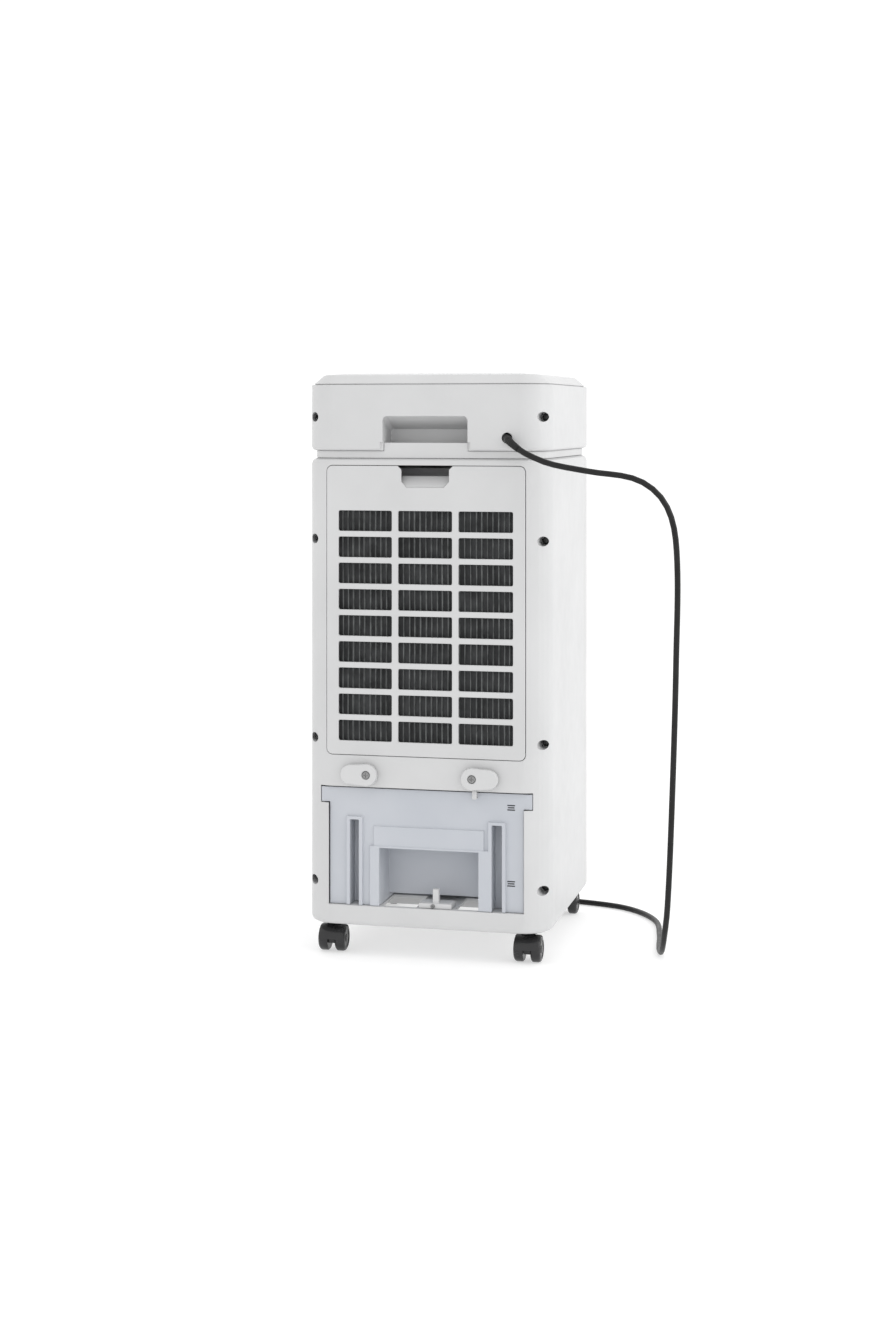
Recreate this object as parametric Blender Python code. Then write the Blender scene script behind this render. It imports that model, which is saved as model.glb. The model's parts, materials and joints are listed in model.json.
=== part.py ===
"""Evaporative tower cooler on casters, modelled as its separate pieces.

Units are metres, +Z is up, and the origin is on the floor under the middle of the body. The air
outlet faces -Y. The filter cover and the water tank face +Y, which is called the rear.
"""

from math import cos, pi, radians, sin, sqrt

import bmesh
import bpy
from mathutils import Matrix, Vector
from mathutils.geometry import interpolate_bezier

# Driving dimensions
WIDTH = 0.270
DEPTH = 0.282
HEIGHT = 0.635
CORNER = 0.032
WALL = 0.003
GAP = 0.0003
CLEARANCE = 0.0006

REAR = DEPTH / 2
FRONT = -DEPTH / 2
SIDE = WIDTH / 2
INNER_REAR = REAR - WALL
SEAM = -0.096

# Levels, from the floor up
BODY_BOTTOM = 0.034
TRAY_TOP = 0.056
TANK_TOP = 0.1835
LATCH_LEVEL = 0.1993
DRIP_TRAY_LEVEL = 0.192
COVER_BOTTOM = 0.2198
COVER_TOP = 0.534
BODY_TOP = 0.542
HEAD_BOTTOM = 0.5503
HEAD_TOP = 0.6222
LIP = 0.014

# Screws in the four rear corner columns
BOSS_X = 0.127
BOSS_LEVELS = (0.0797, 0.2358, 0.4536)
HEAD_BOSS_LEVEL = 0.587
BOSS_RADIUS = 0.0078
BOSS_HOLE = 0.0054
BOSS_SEAT = REAR - 0.033

# Hand recess in the head
POCKET_X = (-0.0468, 0.0473)
STEP_TOP = 0.5595

# Filter cover
COVER_HALF = 0.110
COVER_THICKNESS = 0.0028
COVER_RADIUS = 0.006
COVER_HINGE = Vector((0.0, REAR, COVER_BOTTOM + 0.0017))
GRILLE_COLUMNS = 3
GRILLE_ROWS = 9
CELL_WIDTH, CELL_PITCH_X = 0.0598, 0.0669
CELL_HEIGHT, CELL_PITCH_Z = 0.0223, 0.0285
GRILLE_BOTTOM = 0.235
NOTCH_HALF = 0.0265
NOTCH_BOTTOM = 0.511

# Cooling pad and the frame round it
PAD_HALF = 0.0995
PAD_FRONT, PAD_REAR = 0.0995, 0.1305
PAD_BOTTOM, PAD_TOP = 0.2296, 0.4974

# Water tank
TANK_HALF = 0.1077
EAR_HALF = 0.1172
EAR_BOTTOM = 0.167
TANK_FRONT = -0.092
TANK_FACE = REAR - 0.0045
RIM_FACE = REAR - 0.0015
TANK_WALL = 0.0022
RECESS_X = (-0.0585, 0.0515)
RECESS_TOP = 0.1193
RECESS_BACK = 0.0975
UNDERCUT_TOP = 0.0622
UNDERCUT_FRONT = 0.060
SLOTS_X = ((0.0744, 0.0844), (-0.0843, -0.0731))
SLOT_TOP = 0.149
SLOT_BACK = 0.119

# Tank stop on the floor tray
STOP_X = (-0.0283, 0.0078)
STOP_SCREW = Vector((-0.0079, 0.0, 0.0588))
TONGUE_X = (-0.0136, -0.0070)
FLOOR_CUTOUTS_X = ((0.0115, 0.0505), (-0.0575, -0.0320))

# Turn latches
LATCHES = (("left", 0.0639, 1), ("right", -0.0533, -1))
LATCH_RADIUS = 0.012
LATCH_REACH = 0.026
LATCH_BASE, LATCH_ARM, LATCH_FACE = REAR + GAP, REAR + 0.0026, REAR + 0.0095

# Air path
FAN_CENTRE_Z = 0.335
SCROLL_REAR, SCROLL_FRONT = 0.072, -0.018
SCROLL_WALL = 0.0025
SCROLL_RADII = (0.0885, 0.1015)
INLET_RADIUS, MOTOR_HOLE_RADIUS = 0.066, 0.030
PLENUM_HALF = 0.104
PLENUM_BOTTOM, PLENUM_TOP = 0.400, 0.530
PLENUM_FRONT = -0.095
FAN_RADIUS = 0.078
FAN_REAR = 0.062
FAN_EYE, FAN_BORE = 0.064, 0.0046
FAN_BLADES = 16
BLADE_LEAN = radians(35)
OUTLET_HALF = 0.098
OUTLET_BOTTOM, OUTLET_TOP = 0.404, 0.524
OUTLET_REAR = -0.0965
OUTLET_RIM = 0.006
BEZEL_MARGIN = 0.008
BEZEL_FACE = FRONT - 0.006
LOUVRE_Y = -0.126
LOUVRE_LEVELS = [0.421 + 0.0215 * index for index in range(5)]
VANE_Y = -0.106
VANES_X = [-0.060 + 0.040 * index for index in range(4)]

# Water path
PUMP = Vector((0.085, 0.086, 0.062))
HOSE_RADIUS = 0.0042
DRIP_Y, DRIP_RADIUS = 0.115, 0.0015
TROUGH_FLOOR = PAD_TOP + GAP + 0.007
HOSE_SLOPE = Vector((0.0, -sqrt(0.5), -sqrt(0.5)))
HOSE_INLET = Vector((PUMP.x, 0.0962, TROUGH_FLOOR + 0.009))

# Controls on the top
PANEL_X, PANEL_Y = 0.086, (-0.120, -0.062)
PANEL_TOP = 0.634
BUTTONS_X = [-0.066 + 0.033 * index for index in range(5)]
BUTTON_Y = -0.107
BUTTON_RADIUS, BUTTON_HOLE, BUTTON_FLANGE = 0.0059, 0.0063, 0.0074
WINDOW_X, WINDOW_Y = 0.034, (-0.092, -0.069)

# Casters
CASTER_X, CASTER_Y = 0.109, 0.108
CASTER_TRAIL = 0.008
WHEEL_RADIUS = 0.014
SOCKET_RADIUS, SOCKET_BORE = 0.009, 0.0043
SOCKET_DEPTH = 0.051
STEM_RADIUS, STEM_TOP = 0.0038, 0.048
WEB_HALF, HUB_RADIUS, AXLE_BORE = 0.0040, 0.0105, 0.0023
WHEEL_INNER, WHEEL_OUTER, AXLE_RADIUS = 0.0048, 0.0158, 0.0018
WHEEL_EDGE = 0.0014
CASTERS = (
    ("rear_left", 1, 1),
    ("rear_right", -1, 1),
    ("front_left", 1, -1),
    ("front_right", -1, -1),
)

# Mains cord
CORD_RADIUS = 0.0032
CORD_SPACING = 0.0175
CORD_EXIT = Vector((-0.0902, REAR, 0.5645))
RELIEF_END = Vector((-0.1060, 0.1570, 0.5527))
COIL_CENTRE = Vector((-0.046, -0.205, 0.0))
COIL_INNER, COIL_OUTER = 0.0229, 0.0425
COIL_BOTTOM, COIL_TOP = 0.0002, 0.0138
COIL_EDGE = 0.0022
CORD_ROUTE = (
    (-0.1199, 0.1630, 0.5457),
    (-0.1429, 0.1690, 0.5375),
    (-0.1843, 0.1730, 0.5300),
    (-0.2366, 0.1735, 0.5210),
    (-0.2640, 0.1690, 0.4960),
    (-0.2740, 0.1600, 0.4500),
    (-0.2720, 0.1470, 0.3300),
    (-0.2660, 0.1330, 0.1800),
    (-0.2590, 0.1160, 0.0660),
    (-0.2520, 0.0950, 0.0240),
    (-0.2460, 0.0680, 0.0065),
    (-0.2400, 0.0380, 0.0036),
    (-0.2330, -0.0200, 0.0035),
    (-0.2180, -0.0900, 0.0035),
    (-0.1800, -0.1400, 0.0035),
    (-0.1260, -0.1610, 0.0035),
    (-0.0708, -0.1658, 0.0035),
)

TAIL_ROUTE = (
    (-0.0212, -0.1660, 0.0072),
    (-0.0140, -0.1662, 0.0052),
    (-0.0040, -0.1664, 0.0046),
    (0.0100, -0.1684, 0.0092),
    (0.0200, -0.1705, 0.0135),
    (0.0292, -0.1705, 0.0135),
)
PLUG_CENTRE = Vector((0.030, -0.1705, 0.0135))
PLUG_HALF = 0.0130

MATERIALS = {}


# Shapes


def material(name, colour, roughness, metallic=0.0):
    """One Principled material for each finish, made once."""
    if name not in MATERIALS:
        made = bpy.data.materials.new(name)
        made.use_nodes = True
        shader = made.node_tree.nodes["Principled BSDF"]
        shader.inputs["Base Color"].default_value = (*colour, 1.0)
        shader.inputs["Roughness"].default_value = roughness
        shader.inputs["Metallic"].default_value = metallic
        MATERIALS[name] = made
    return MATERIALS[name]


def white_plastic():
    return material("white_plastic", (0.80, 0.80, 0.79), 0.42)


def black_plastic():
    return material("black_plastic", (0.02, 0.02, 0.02), 0.30)


def grey_plastic():
    return material("grey_plastic", (0.45, 0.45, 0.46), 0.50)


def steel():
    return material("steel", (0.55, 0.55, 0.56), 0.35, 1.0)


def mesh_object(vertices, faces):
    """A closed mesh object with its faces turned outwards."""
    form = bmesh.new()
    corners = [form.verts.new(vertex) for vertex in vertices]
    for face in faces:
        form.faces.new([corners[index] for index in face])
    bmesh.ops.recalc_face_normals(form, faces=form.faces)
    mesh = bpy.data.meshes.new("shape")
    form.to_mesh(mesh)
    form.free()
    made = bpy.data.objects.new("shape", mesh)
    bpy.context.collection.objects.link(made)
    return made


def stack(loops):
    """A solid through loops of equal length, with a flat face at each end."""
    count = len(loops[0])
    vertices = [point for loop in loops for point in loop]
    faces = [list(range(count))[::-1]]
    for level in range(len(loops) - 1):
        low, high = level * count, (level + 1) * count
        for index in range(count):
            after = (index + 1) % count
            faces.append([low + index, low + after, high + after, high + index])
    faces.append([(len(loops) - 1) * count + index for index in range(count)])
    return mesh_object(vertices, faces)


def block(x, y, z):
    """A box between two numbers on each axis."""
    base = [(x[0], y[0]), (x[1], y[0]), (x[1], y[1]), (x[0], y[1])]
    return stack([[(a, b, level) for a, b in base] for level in z])


def prism(outline, axis, span):
    """An outline pushed along an axis: (y, z) for X, (x, z) for Y and (x, y) for Z."""
    places = {
        "X": lambda a, b, c: (c, a, b),
        "Y": lambda a, b, c: (a, c, b),
        "Z": lambda a, b, c: (a, b, c),
    }
    return stack([[places[axis](a, b, c) for a, b in outline] for c in span])


def across(direction):
    """Two directions square to one another and to the given one."""
    other = Vector((0, 0, 1)) if abs(direction.z) < 0.9 else Vector((1, 0, 0))
    first = direction.cross(other).normalized()
    return first, direction.cross(first).normalized()


def rod(start, end, radius, end_radius=None, sides=12):
    """A round bar or a cone between two points."""
    start, end = Vector(start), Vector(end)
    first, second = across((end - start).normalized())
    loops = []
    for centre, size in ((start, radius), (end, end_radius or radius)):
        angles = [2 * pi * index / sides for index in range(sides)]
        loops.append([centre + size * (cos(a) * first + sin(a) * second) for a in angles])
    return stack(loops)


def turned(profile, centre, direction, sides=24):
    """A solid turned about an axis. The profile is a closed ring of (radius, distance along) points."""
    direction = Vector(direction).normalized()
    first, second = across(direction)
    count = len(profile)
    vertices = []
    for index in range(sides):
        angle = 2 * pi * index / sides
        out = cos(angle) * first + sin(angle) * second
        vertices += [Vector(centre) + radius * out + along * direction for radius, along in profile]
    faces = []
    for index in range(sides):
        here, there = index * count, (index + 1) % sides * count
        for step in range(count):
            after = (step + 1) % count
            faces.append([here + step, here + after, there + after, there + step])
    return mesh_object(vertices, faces)


def rounded(x, y, radius, steps=3):
    """The outline of a rectangle with round corners, anticlockwise."""
    points = []
    corners = ((x[1], y[1], 0), (x[0], y[1], 1), (x[0], y[0], 2), (x[1], y[0], 3))
    for corner_x, corner_y, quarter in corners:
        centre_x = corner_x - radius if quarter in (0, 3) else corner_x + radius
        centre_y = corner_y - radius if quarter in (0, 1) else corner_y + radius
        for step in range(steps + 1):
            angle = (quarter + step / steps) * pi / 2
            points.append((centre_x + radius * cos(angle), centre_y + radius * sin(angle)))
    return points


def plan(inset, level, steps=7):
    """The body's outline seen from above, drawn in by an inset, at one level."""
    half_x, half_y = SIDE - inset, REAR - inset
    radius = max(CORNER - inset, 0.004)
    outline = rounded((-half_x, half_x), (-half_y, half_y), radius, steps)
    return [(x, y, level) for x, y in outline]


def combine(base, tool, operation):
    """Join a tool to a solid, or cut it away, and keep the result as the solid's mesh."""
    modifier = base.modifiers.new("combine", "BOOLEAN")
    modifier.operation = operation
    modifier.solver = "EXACT"
    modifier.object = tool
    bpy.context.view_layer.update()
    evaluated = base.evaluated_get(bpy.context.evaluated_depsgraph_get())
    mesh = bpy.data.meshes.new_from_object(evaluated)
    base.modifiers.clear()
    base.data = mesh
    bpy.data.objects.remove(tool)


def join(base, *tools):
    for tool in tools:
        combine(base, tool, "UNION")
    return base


def cut(base, *tools):
    for tool in tools:
        combine(base, tool, "DIFFERENCE")
    return base


def several(tools):
    """Separate solids as one mesh, to cut with in one go."""
    form = bmesh.new()
    for tool in tools:
        form.from_mesh(tool.data)
        bpy.data.objects.remove(tool)
    mesh = bpy.data.meshes.new("shapes")
    form.to_mesh(mesh)
    form.free()
    made = bpy.data.objects.new("shapes", mesh)
    bpy.context.collection.objects.link(made)
    return made


def finish(made, name, finish_material, origin=(0.0, 0.0, 0.0), parent=None):
    """Name a solid, give it its material and put its origin where it turns or slides."""
    made.name = name
    made.data.name = name
    made.data.transform(Matrix.Translation(-Vector(origin)))
    made.location = Vector(origin)
    made.data.materials.clear()
    made.data.materials.append(finish_material)
    made.data.shade_smooth()
    made.data.set_sharp_from_angle(angle=radians(35))
    if parent is not None:
        bpy.context.view_layer.update()
        made.parent = parent
        made.matrix_parent_inverse = parent.matrix_world.inverted()
    return made


# Casing


def corner_rods(levels, start, radius):
    """A round bar at each rear corner and level, running out through the rear face."""
    end = REAR + 0.01
    places = [(side * BOSS_X, level) for side in (-1, 1) for level in levels]
    return several([rod((x, start, level), (x, end, level), radius) for x, level in places])


def corner_columns(levels):
    """The plastic left round the deep screw holes."""
    return corner_rods(levels, BOSS_SEAT - 0.008, BOSS_RADIUS)


def boss_holes(levels):
    """The deep round holes that the corner screws sit in."""
    return corner_rods(levels, BOSS_SEAT, BOSS_HOLE)


def body_skin(with_bosses):
    """The body's whole skin, with a lip turned in at the top and the bottom."""
    outer = stack(
        [
            plan(0.005, BODY_BOTTOM),
            plan(0.0015, BODY_BOTTOM + 0.0015),
            plan(0.0, BODY_BOTTOM + 0.005),
            plan(0.0, BODY_TOP - 0.006),
            plan(0.0018, BODY_TOP - 0.0018),
            plan(0.006, BODY_TOP),
        ]
    )
    inner = stack([plan(WALL, BODY_BOTTOM + WALL), plan(WALL, BODY_TOP - WALL)])
    if with_bosses:
        cut(inner, corner_columns(BOSS_LEVELS))
    mouth = stack([plan(LIP, BODY_BOTTOM - 0.01), plan(LIP, BODY_TOP + 0.01)])
    return cut(outer, inner, mouth)


def rear_shell():
    shell = body_skin(with_bosses=True)
    cut(shell, block((-0.2, 0.2), (-0.2, SEAM), (0.0, 0.6)))
    through = (REAR - 0.012, REAR + 0.01)
    window = rounded(
        (-COVER_HALF - CLEARANCE, COVER_HALF + CLEARANCE),
        (COVER_BOTTOM - CLEARANCE, COVER_TOP + CLEARANCE),
        COVER_RADIUS + CLEARANCE,
    )
    cut(shell, prism(window, "Y", through))
    narrow, wide = TANK_HALF + CLEARANCE, EAR_HALF + CLEARANCE
    step, top = EAR_BOTTOM - CLEARANCE, TANK_TOP + 0.0015
    half = [(narrow, TRAY_TOP), (narrow, step), (wide, step), (wide, top)]
    mirrored = [(-x, z) for x, z in reversed(half)]
    cut(shell, prism(half + mirrored, "Y", through))
    cut(shell, boss_holes(BOSS_LEVELS))
    screw_holes = [
        rod((x, through[0], LATCH_LEVEL), (x, through[1], LATCH_LEVEL), 0.0024)
        for _, x, _ in LATCHES
    ]
    cut(shell, several(screw_holes))
    return finish(shell, "rear_shell", white_plastic())


def front_shell():
    shell = body_skin(with_bosses=False)
    cut(shell, block((-0.2, 0.2), (SEAM - GAP, 0.2), (0.0, 0.6)))
    half, low, high = OUTLET_HALF + 0.0005, OUTLET_BOTTOM - 0.0005, OUTLET_TOP + 0.0005
    cut(shell, block((-half, half), (FRONT - 0.01, FRONT + 0.012), (low, high)))
    return finish(shell, "front_shell", white_plastic())


def base_tray():
    """The floor of the body: a plate on a skirt, with ribs, caster sockets and two cut-outs."""
    edge = WALL + GAP + 0.0001
    under = BODY_BOTTOM + WALL + GAP
    tray = stack([plan(edge, under), plan(edge, TRAY_TOP)])
    cut(tray, stack([plan(edge + 0.003, under - 0.01), plan(edge + 0.003, TRAY_TOP - 0.0035)]))
    ribs = [block((-0.130, 0.130), (y, y + 0.0025), (0.041, TRAY_TOP - 0.001)) for y in (-0.062, 0.055)]
    ribs += [block((x, x + 0.0025), (-0.136, 0.136), (0.043, TRAY_TOP - 0.001)) for x in (-0.072, 0.0695)]
    for _, side_x, side_y in CASTERS:
        x, y = side_x * CASTER_X, side_y * CASTER_Y
        join(tray, rod((x, y, BODY_BOTTOM + GAP), (x, y, TRAY_TOP - 0.001), SOCKET_RADIUS))
    join(tray, *ribs)
    for _, side_x, side_y in CASTERS:
        x, y = side_x * CASTER_X, side_y * CASTER_Y
        cut(tray, rod((x, y, 0.02), (x, y, SOCKET_DEPTH), SOCKET_BORE))
    cutouts = [block(x, (0.078, 0.1335), (0.03, 0.07)) for x in FLOOR_CUTOUTS_X]
    cut(tray, several(cutouts))
    return finish(tray, "base_tray", white_plastic())


def neck_ring():
    """The ring between body and head, with the low wall that closes the hand recess's bottom."""
    inset = 0.0055
    ring = stack([plan(inset, BODY_TOP + GAP), plan(inset, HEAD_BOTTOM - GAP)])
    cut(ring, stack([plan(0.016, BODY_TOP - 0.01), plan(0.016, HEAD_BOTTOM + 0.01)]))
    wall_x = (POCKET_X[0] + 0.0004, POCKET_X[1] - 0.0004)
    low, high = HEAD_BOTTOM - 0.001, STEP_TOP - 0.0005
    join(ring, block(wall_x, (REAR - inset - 0.0075, REAR - inset), (low, high)))
    return finish(ring, "neck_ring", white_plastic())


def head_shell():
    """The head's casing, with the hand recess, the screw holes and the cord's hole at the rear."""
    outer = stack(
        [
            plan(0.004, HEAD_BOTTOM),
            plan(0.0012, HEAD_BOTTOM + 0.0012),
            plan(0.0, HEAD_BOTTOM + 0.004),
            plan(0.0, HEAD_TOP - 0.0008),
            plan(0.0008, HEAD_TOP),
        ]
    )
    inner = stack([plan(WALL, HEAD_BOTTOM + WALL), plan(WALL, HEAD_TOP + 0.01)])
    cut(inner, corner_columns((HEAD_BOSS_LEVEL,)))
    pocket_wall = [
        (REAR + 0.01, 0.5906),
        (REAR - 0.006, 0.5906),
        (REAR - 0.040, 0.5770),
        (REAR - 0.040, HEAD_BOTTOM - 0.01),
        (REAR + 0.01, HEAD_BOTTOM - 0.01),
    ]
    cut(inner, prism(pocket_wall, "X", (POCKET_X[0] - 0.0032, POCKET_X[1] + 0.0032)))
    cut(outer, inner)
    cut(outer, stack([plan(0.016, HEAD_BOTTOM - 0.01), plan(0.016, HEAD_BOTTOM + WALL + 0.0005)]))
    pocket = [
        (REAR + 0.01, 0.5876),
        (REAR - 0.003, 0.5876),
        (REAR - 0.037, 0.5738),
        (REAR - 0.037, HEAD_BOTTOM - 0.01),
        (REAR + 0.01, HEAD_BOTTOM - 0.01),
    ]
    cut(outer, prism(pocket, "X", POCKET_X))
    step_x = (POCKET_X[0] - 0.0029, POCKET_X[1] + 0.0029)
    cut(outer, block(step_x, (REAR - 0.004, REAR + 0.01), (HEAD_BOTTOM - 0.01, STEP_TOP)))
    cut(outer, boss_holes((HEAD_BOSS_LEVEL,)))
    x, z = CORD_EXIT.x, CORD_EXIT.z
    cut(outer, rod((x, REAR - 0.02, z), (x, REAR + 0.01, z), 0.0057))
    return finish(outer, "head_shell", white_plastic())


def top_cover():
    """The crowned lid of the head, with the pocket for the control panel."""
    base = HEAD_TOP + GAP
    lid = stack(
        [
            plan(0.0032, base),
            plan(0.0032, base + 0.0012),
            plan(0.0128, HEIGHT - 0.0030),
            plan(0.0160, HEIGHT - 0.0018),
            plan(0.0400, HEIGHT),
        ]
    )
    cut(lid, stack([plan(0.0075, base - 0.01), plan(0.0155, HEIGHT - 0.0055)]))
    edge_x, low_y, high_y = PANEL_X + 0.0004, PANEL_Y[0] - 0.0004, PANEL_Y[1] + 0.0004
    cut(lid, block((-edge_x, edge_x), (low_y, high_y), (HEIGHT - 0.02, HEIGHT + 0.01)))
    return finish(lid, "top_cover", white_plastic())


# Air inlet


def filter_cover():
    outline = rounded((-COVER_HALF, COVER_HALF), (COVER_BOTTOM, COVER_TOP), COVER_RADIUS)
    cover = prism(outline, "Y", (REAR - COVER_THICKNESS, REAR))
    scoop = [
        (REAR - 0.0005, NOTCH_BOTTOM - 0.004),
        (REAR - 0.0005, NOTCH_BOTTOM + 0.0008),
        (REAR - 0.0130, NOTCH_BOTTOM + 0.0120),
        (REAR - 0.0150, NOTCH_BOTTOM + 0.0105),
        (REAR - 0.0060, NOTCH_BOTTOM - 0.004),
    ]
    lip = 0.0040
    notch = [
        (-NOTCH_HALF - lip, COVER_TOP + 0.01),
        (-NOTCH_HALF - lip, COVER_TOP - 0.0002),
        (-NOTCH_HALF, COVER_TOP - lip),
        (-NOTCH_HALF, NOTCH_BOTTOM + 0.006),
        (-NOTCH_HALF + 0.006, NOTCH_BOTTOM),
        (NOTCH_HALF - 0.006, NOTCH_BOTTOM),
        (NOTCH_HALF, NOTCH_BOTTOM + 0.006),
        (NOTCH_HALF, COVER_TOP - lip),
        (NOTCH_HALF + lip, COVER_TOP - 0.0002),
        (NOTCH_HALF + lip, COVER_TOP + 0.01),
    ]
    cut(cover, prism(notch, "Y", (REAR - 0.02, REAR + 0.01)))
    join(cover, prism(scoop, "X", (-NOTCH_HALF - 0.002, NOTCH_HALF + 0.002)))
    cells = []
    for column in range(GRILLE_COLUMNS):
        middle = (column - 1) * CELL_PITCH_X
        for row in range(GRILLE_ROWS):
            low = GRILLE_BOTTOM + row * CELL_PITCH_Z
            span_x = (middle - CELL_WIDTH / 2, middle + CELL_WIDTH / 2)
            cells.append(block(span_x, (REAR - 0.01, REAR + 0.01), (low, low + CELL_HEIGHT)))
    cut(cover, several(cells))
    return finish(cover, "filter_cover", white_plastic(), COVER_HINGE)


def dust_filter(cover):
    back = REAR - COVER_THICKNESS - GAP
    mat = block((-0.103, 0.103), (back - 0.004, back), (0.2290, 0.4915))
    finish_material = material("filter_mesh", (0.07, 0.075, 0.08), 0.9)
    return finish(mat, "dust_filter", finish_material, COVER_HINGE, cover)


def cooling_pad():
    pad = block((-PAD_HALF, PAD_HALF), (PAD_FRONT, PAD_REAR), (PAD_BOTTOM, PAD_TOP))
    return finish(pad, "cooling_pad", material("cellulose", (0.12, 0.085, 0.06), 0.95))


def pad_frame():
    """The frame that the cooling pad stands in."""
    wall = 0.006
    near, far = PAD_HALF + GAP, PAD_HALF + GAP + wall
    low, high = PAD_BOTTOM - GAP, PAD_TOP + GAP
    frame = block((-far, far), (PAD_FRONT - 0.001, PAD_REAR + 0.001), (low - wall, high + wall))
    cut(frame, block((-near, near), (0.0, REAR), (low, high)))
    return finish(frame, "pad_frame", grey_plastic())


def water_distributor():
    """The trough over the pad, with drip holes in its floor and the hose's inlet."""
    floor = TROUGH_FLOOR
    high, wall = floor + 0.018, 0.002
    y = (PAD_FRONT + 0.001, PAD_REAR - 0.006)
    trough = block((-0.104, 0.104), y, (floor, high))
    join(trough, rod(HOSE_INLET - 0.008 * HOSE_SLOPE, HOSE_INLET, HOSE_RADIUS))
    cut(trough, block((-0.102, 0.102), (y[0] + wall, y[1] - wall), (floor + wall, high + 0.01)))
    drips_x = [-0.091 + 0.026 * index for index in range(8)]
    low, over = floor - 0.01, floor + 0.01
    drips = [rod((x, DRIP_Y, low), (x, DRIP_Y, over), DRIP_RADIUS, sides=8) for x in drips_x]
    cut(trough, several(drips))
    return finish(trough, "water_distributor", grey_plastic())


# Water tank and what holds it


def drip_tray():
    """The deck between the tank and the fan, which lets the pad's water back into the tank."""
    level = DRIP_TRAY_LEVEL
    deck = block((-0.1285, 0.1285), (-0.090, 0.0955), (level, level + 0.003))
    join(deck, block((-0.108, 0.108), (0.090, 0.1305), (level, level + 0.003)))
    join(deck, block((-0.108, 0.108), (0.1275, 0.1305), (level + 0.001, level + 0.012)))
    through = (level - 0.01, level + 0.02)
    holes = [block(x, (0.112, 0.124), through) for x in ((-0.09, -0.02), (-0.01, 0.045))]
    holes.append(rod((PUMP.x, PUMP.y, through[0]), (PUMP.x, PUMP.y, through[1]), 0.0065))
    cut(deck, several(holes))
    return finish(deck, "drip_tray", grey_plastic())


def tank_slot(x):
    """The wall round one of the tank's upright grooves, before the groove is cut."""
    wall = (x[0] - 0.0040, x[1] + 0.0040)
    return block(wall, (SLOT_BACK - TANK_WALL, RIM_FACE), (TRAY_TOP + GAP, SLOT_TOP + 0.0035))


def water_tank():
    """The open-topped tank, with a wider band round its top and a hand recess in its rear face."""
    bottom = TRAY_TOP + GAP
    rear = TANK_FACE
    tank = block((-TANK_HALF, TANK_HALF), (TANK_FRONT, rear), (bottom, TANK_TOP))
    join(tank, block((-EAR_HALF, EAR_HALF), (TANK_FRONT, rear), (EAR_BOTTOM, TANK_TOP)))
    low = TANK_HALF - TANK_WALL
    high = EAR_HALF - TANK_WALL
    span = (TANK_FRONT + TANK_WALL, rear - TANK_WALL)
    cavity = block((-low, low), span, (bottom + TANK_WALL, TANK_TOP + 0.01))
    join(cavity, block((-high, high), span, (EAR_BOTTOM + TANK_WALL, TANK_TOP + 0.01)))
    kept = (RECESS_X[0] - TANK_WALL, RECESS_X[1] + TANK_WALL)
    under = bottom - 0.01
    undercut_y = (UNDERCUT_FRONT - TANK_WALL, RIM_FACE - 0.01)
    walls = [
        block(kept, (RECESS_BACK - TANK_WALL, RIM_FACE), (under, RECESS_TOP + TANK_WALL)),
        block(kept, undercut_y, (under, UNDERCUT_TOP + TANK_WALL)),
    ]
    walls += [tank_slot(x) for x in SLOTS_X]
    cut(cavity, *walls)
    cut(tank, cavity)
    rims = [tank_slot(x) for x in SLOTS_X]
    rims = [cut(rim, block((-0.2, 0.2), (0.0, rear - 0.001), (0.0, 0.3))) for rim in rims]
    rim_x = (RECESS_X[0] - 0.0115, RECESS_X[1] + 0.0105)
    rims.append(block(rim_x, (rear - 0.001, RIM_FACE), (bottom, RECESS_TOP + 0.002)))
    rims.append(block((-0.0643, 0.0579), (rear - 0.001, RIM_FACE - 0.0012), (RECESS_TOP - 0.004, 0.1426)))
    join(tank, *rims)
    cut(tank, block(RECESS_X, (RECESS_BACK, REAR + 0.01), (under, RECESS_TOP)))
    cut(tank, block(RECESS_X, (UNDERCUT_FRONT, RECESS_BACK + 0.005), (under, UNDERCUT_TOP)))
    cut(tank, several([block(x, (SLOT_BACK, REAR + 0.01), (under, SLOT_TOP)) for x in SLOTS_X]))
    return finish(tank, "water_tank", material("tank_plastic", (0.48, 0.51, 0.55), 0.25))


def tank_tab(tank):
    """The small catch on the tank's top edge."""
    tab = block((-0.0575, -0.0525), (TANK_FACE + GAP, REAR + 0.0022), (0.1770, 0.1845))
    join(tab, block((-0.0575, -0.0525), (REAR + 0.0004, REAR + 0.0022), (0.1780, 0.1862)))
    return finish(tab, "tank_tab", white_plastic(), parent=tank)


def tank_stop():
    """The stop that the tank's recess runs against, screwed to the floor tray."""
    bottom = TRAY_TOP + GAP
    stop = block(STOP_X, (0.117, 0.1372), (bottom, 0.0615))
    join(stop, block(TONGUE_X, (0.127, 0.134), (bottom + 0.001, 0.0765)))
    head = rod((STOP_SCREW.x, 0.11, STOP_SCREW.z), (STOP_SCREW.x, 0.15, STOP_SCREW.z), 0.0014)
    cut(stop, head)
    return finish(stop, "tank_stop", white_plastic())


def tank_stop_screw():
    x, z = STOP_SCREW.x, STOP_SCREW.z
    screw = rod((x, 0.1375, z), (x, 0.1390, z), 0.0023)
    join(screw, rod((x, 0.120, z), (x, 0.1380, z), 0.0010))
    return finish(screw, "tank_stop_screw", steel())


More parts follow.
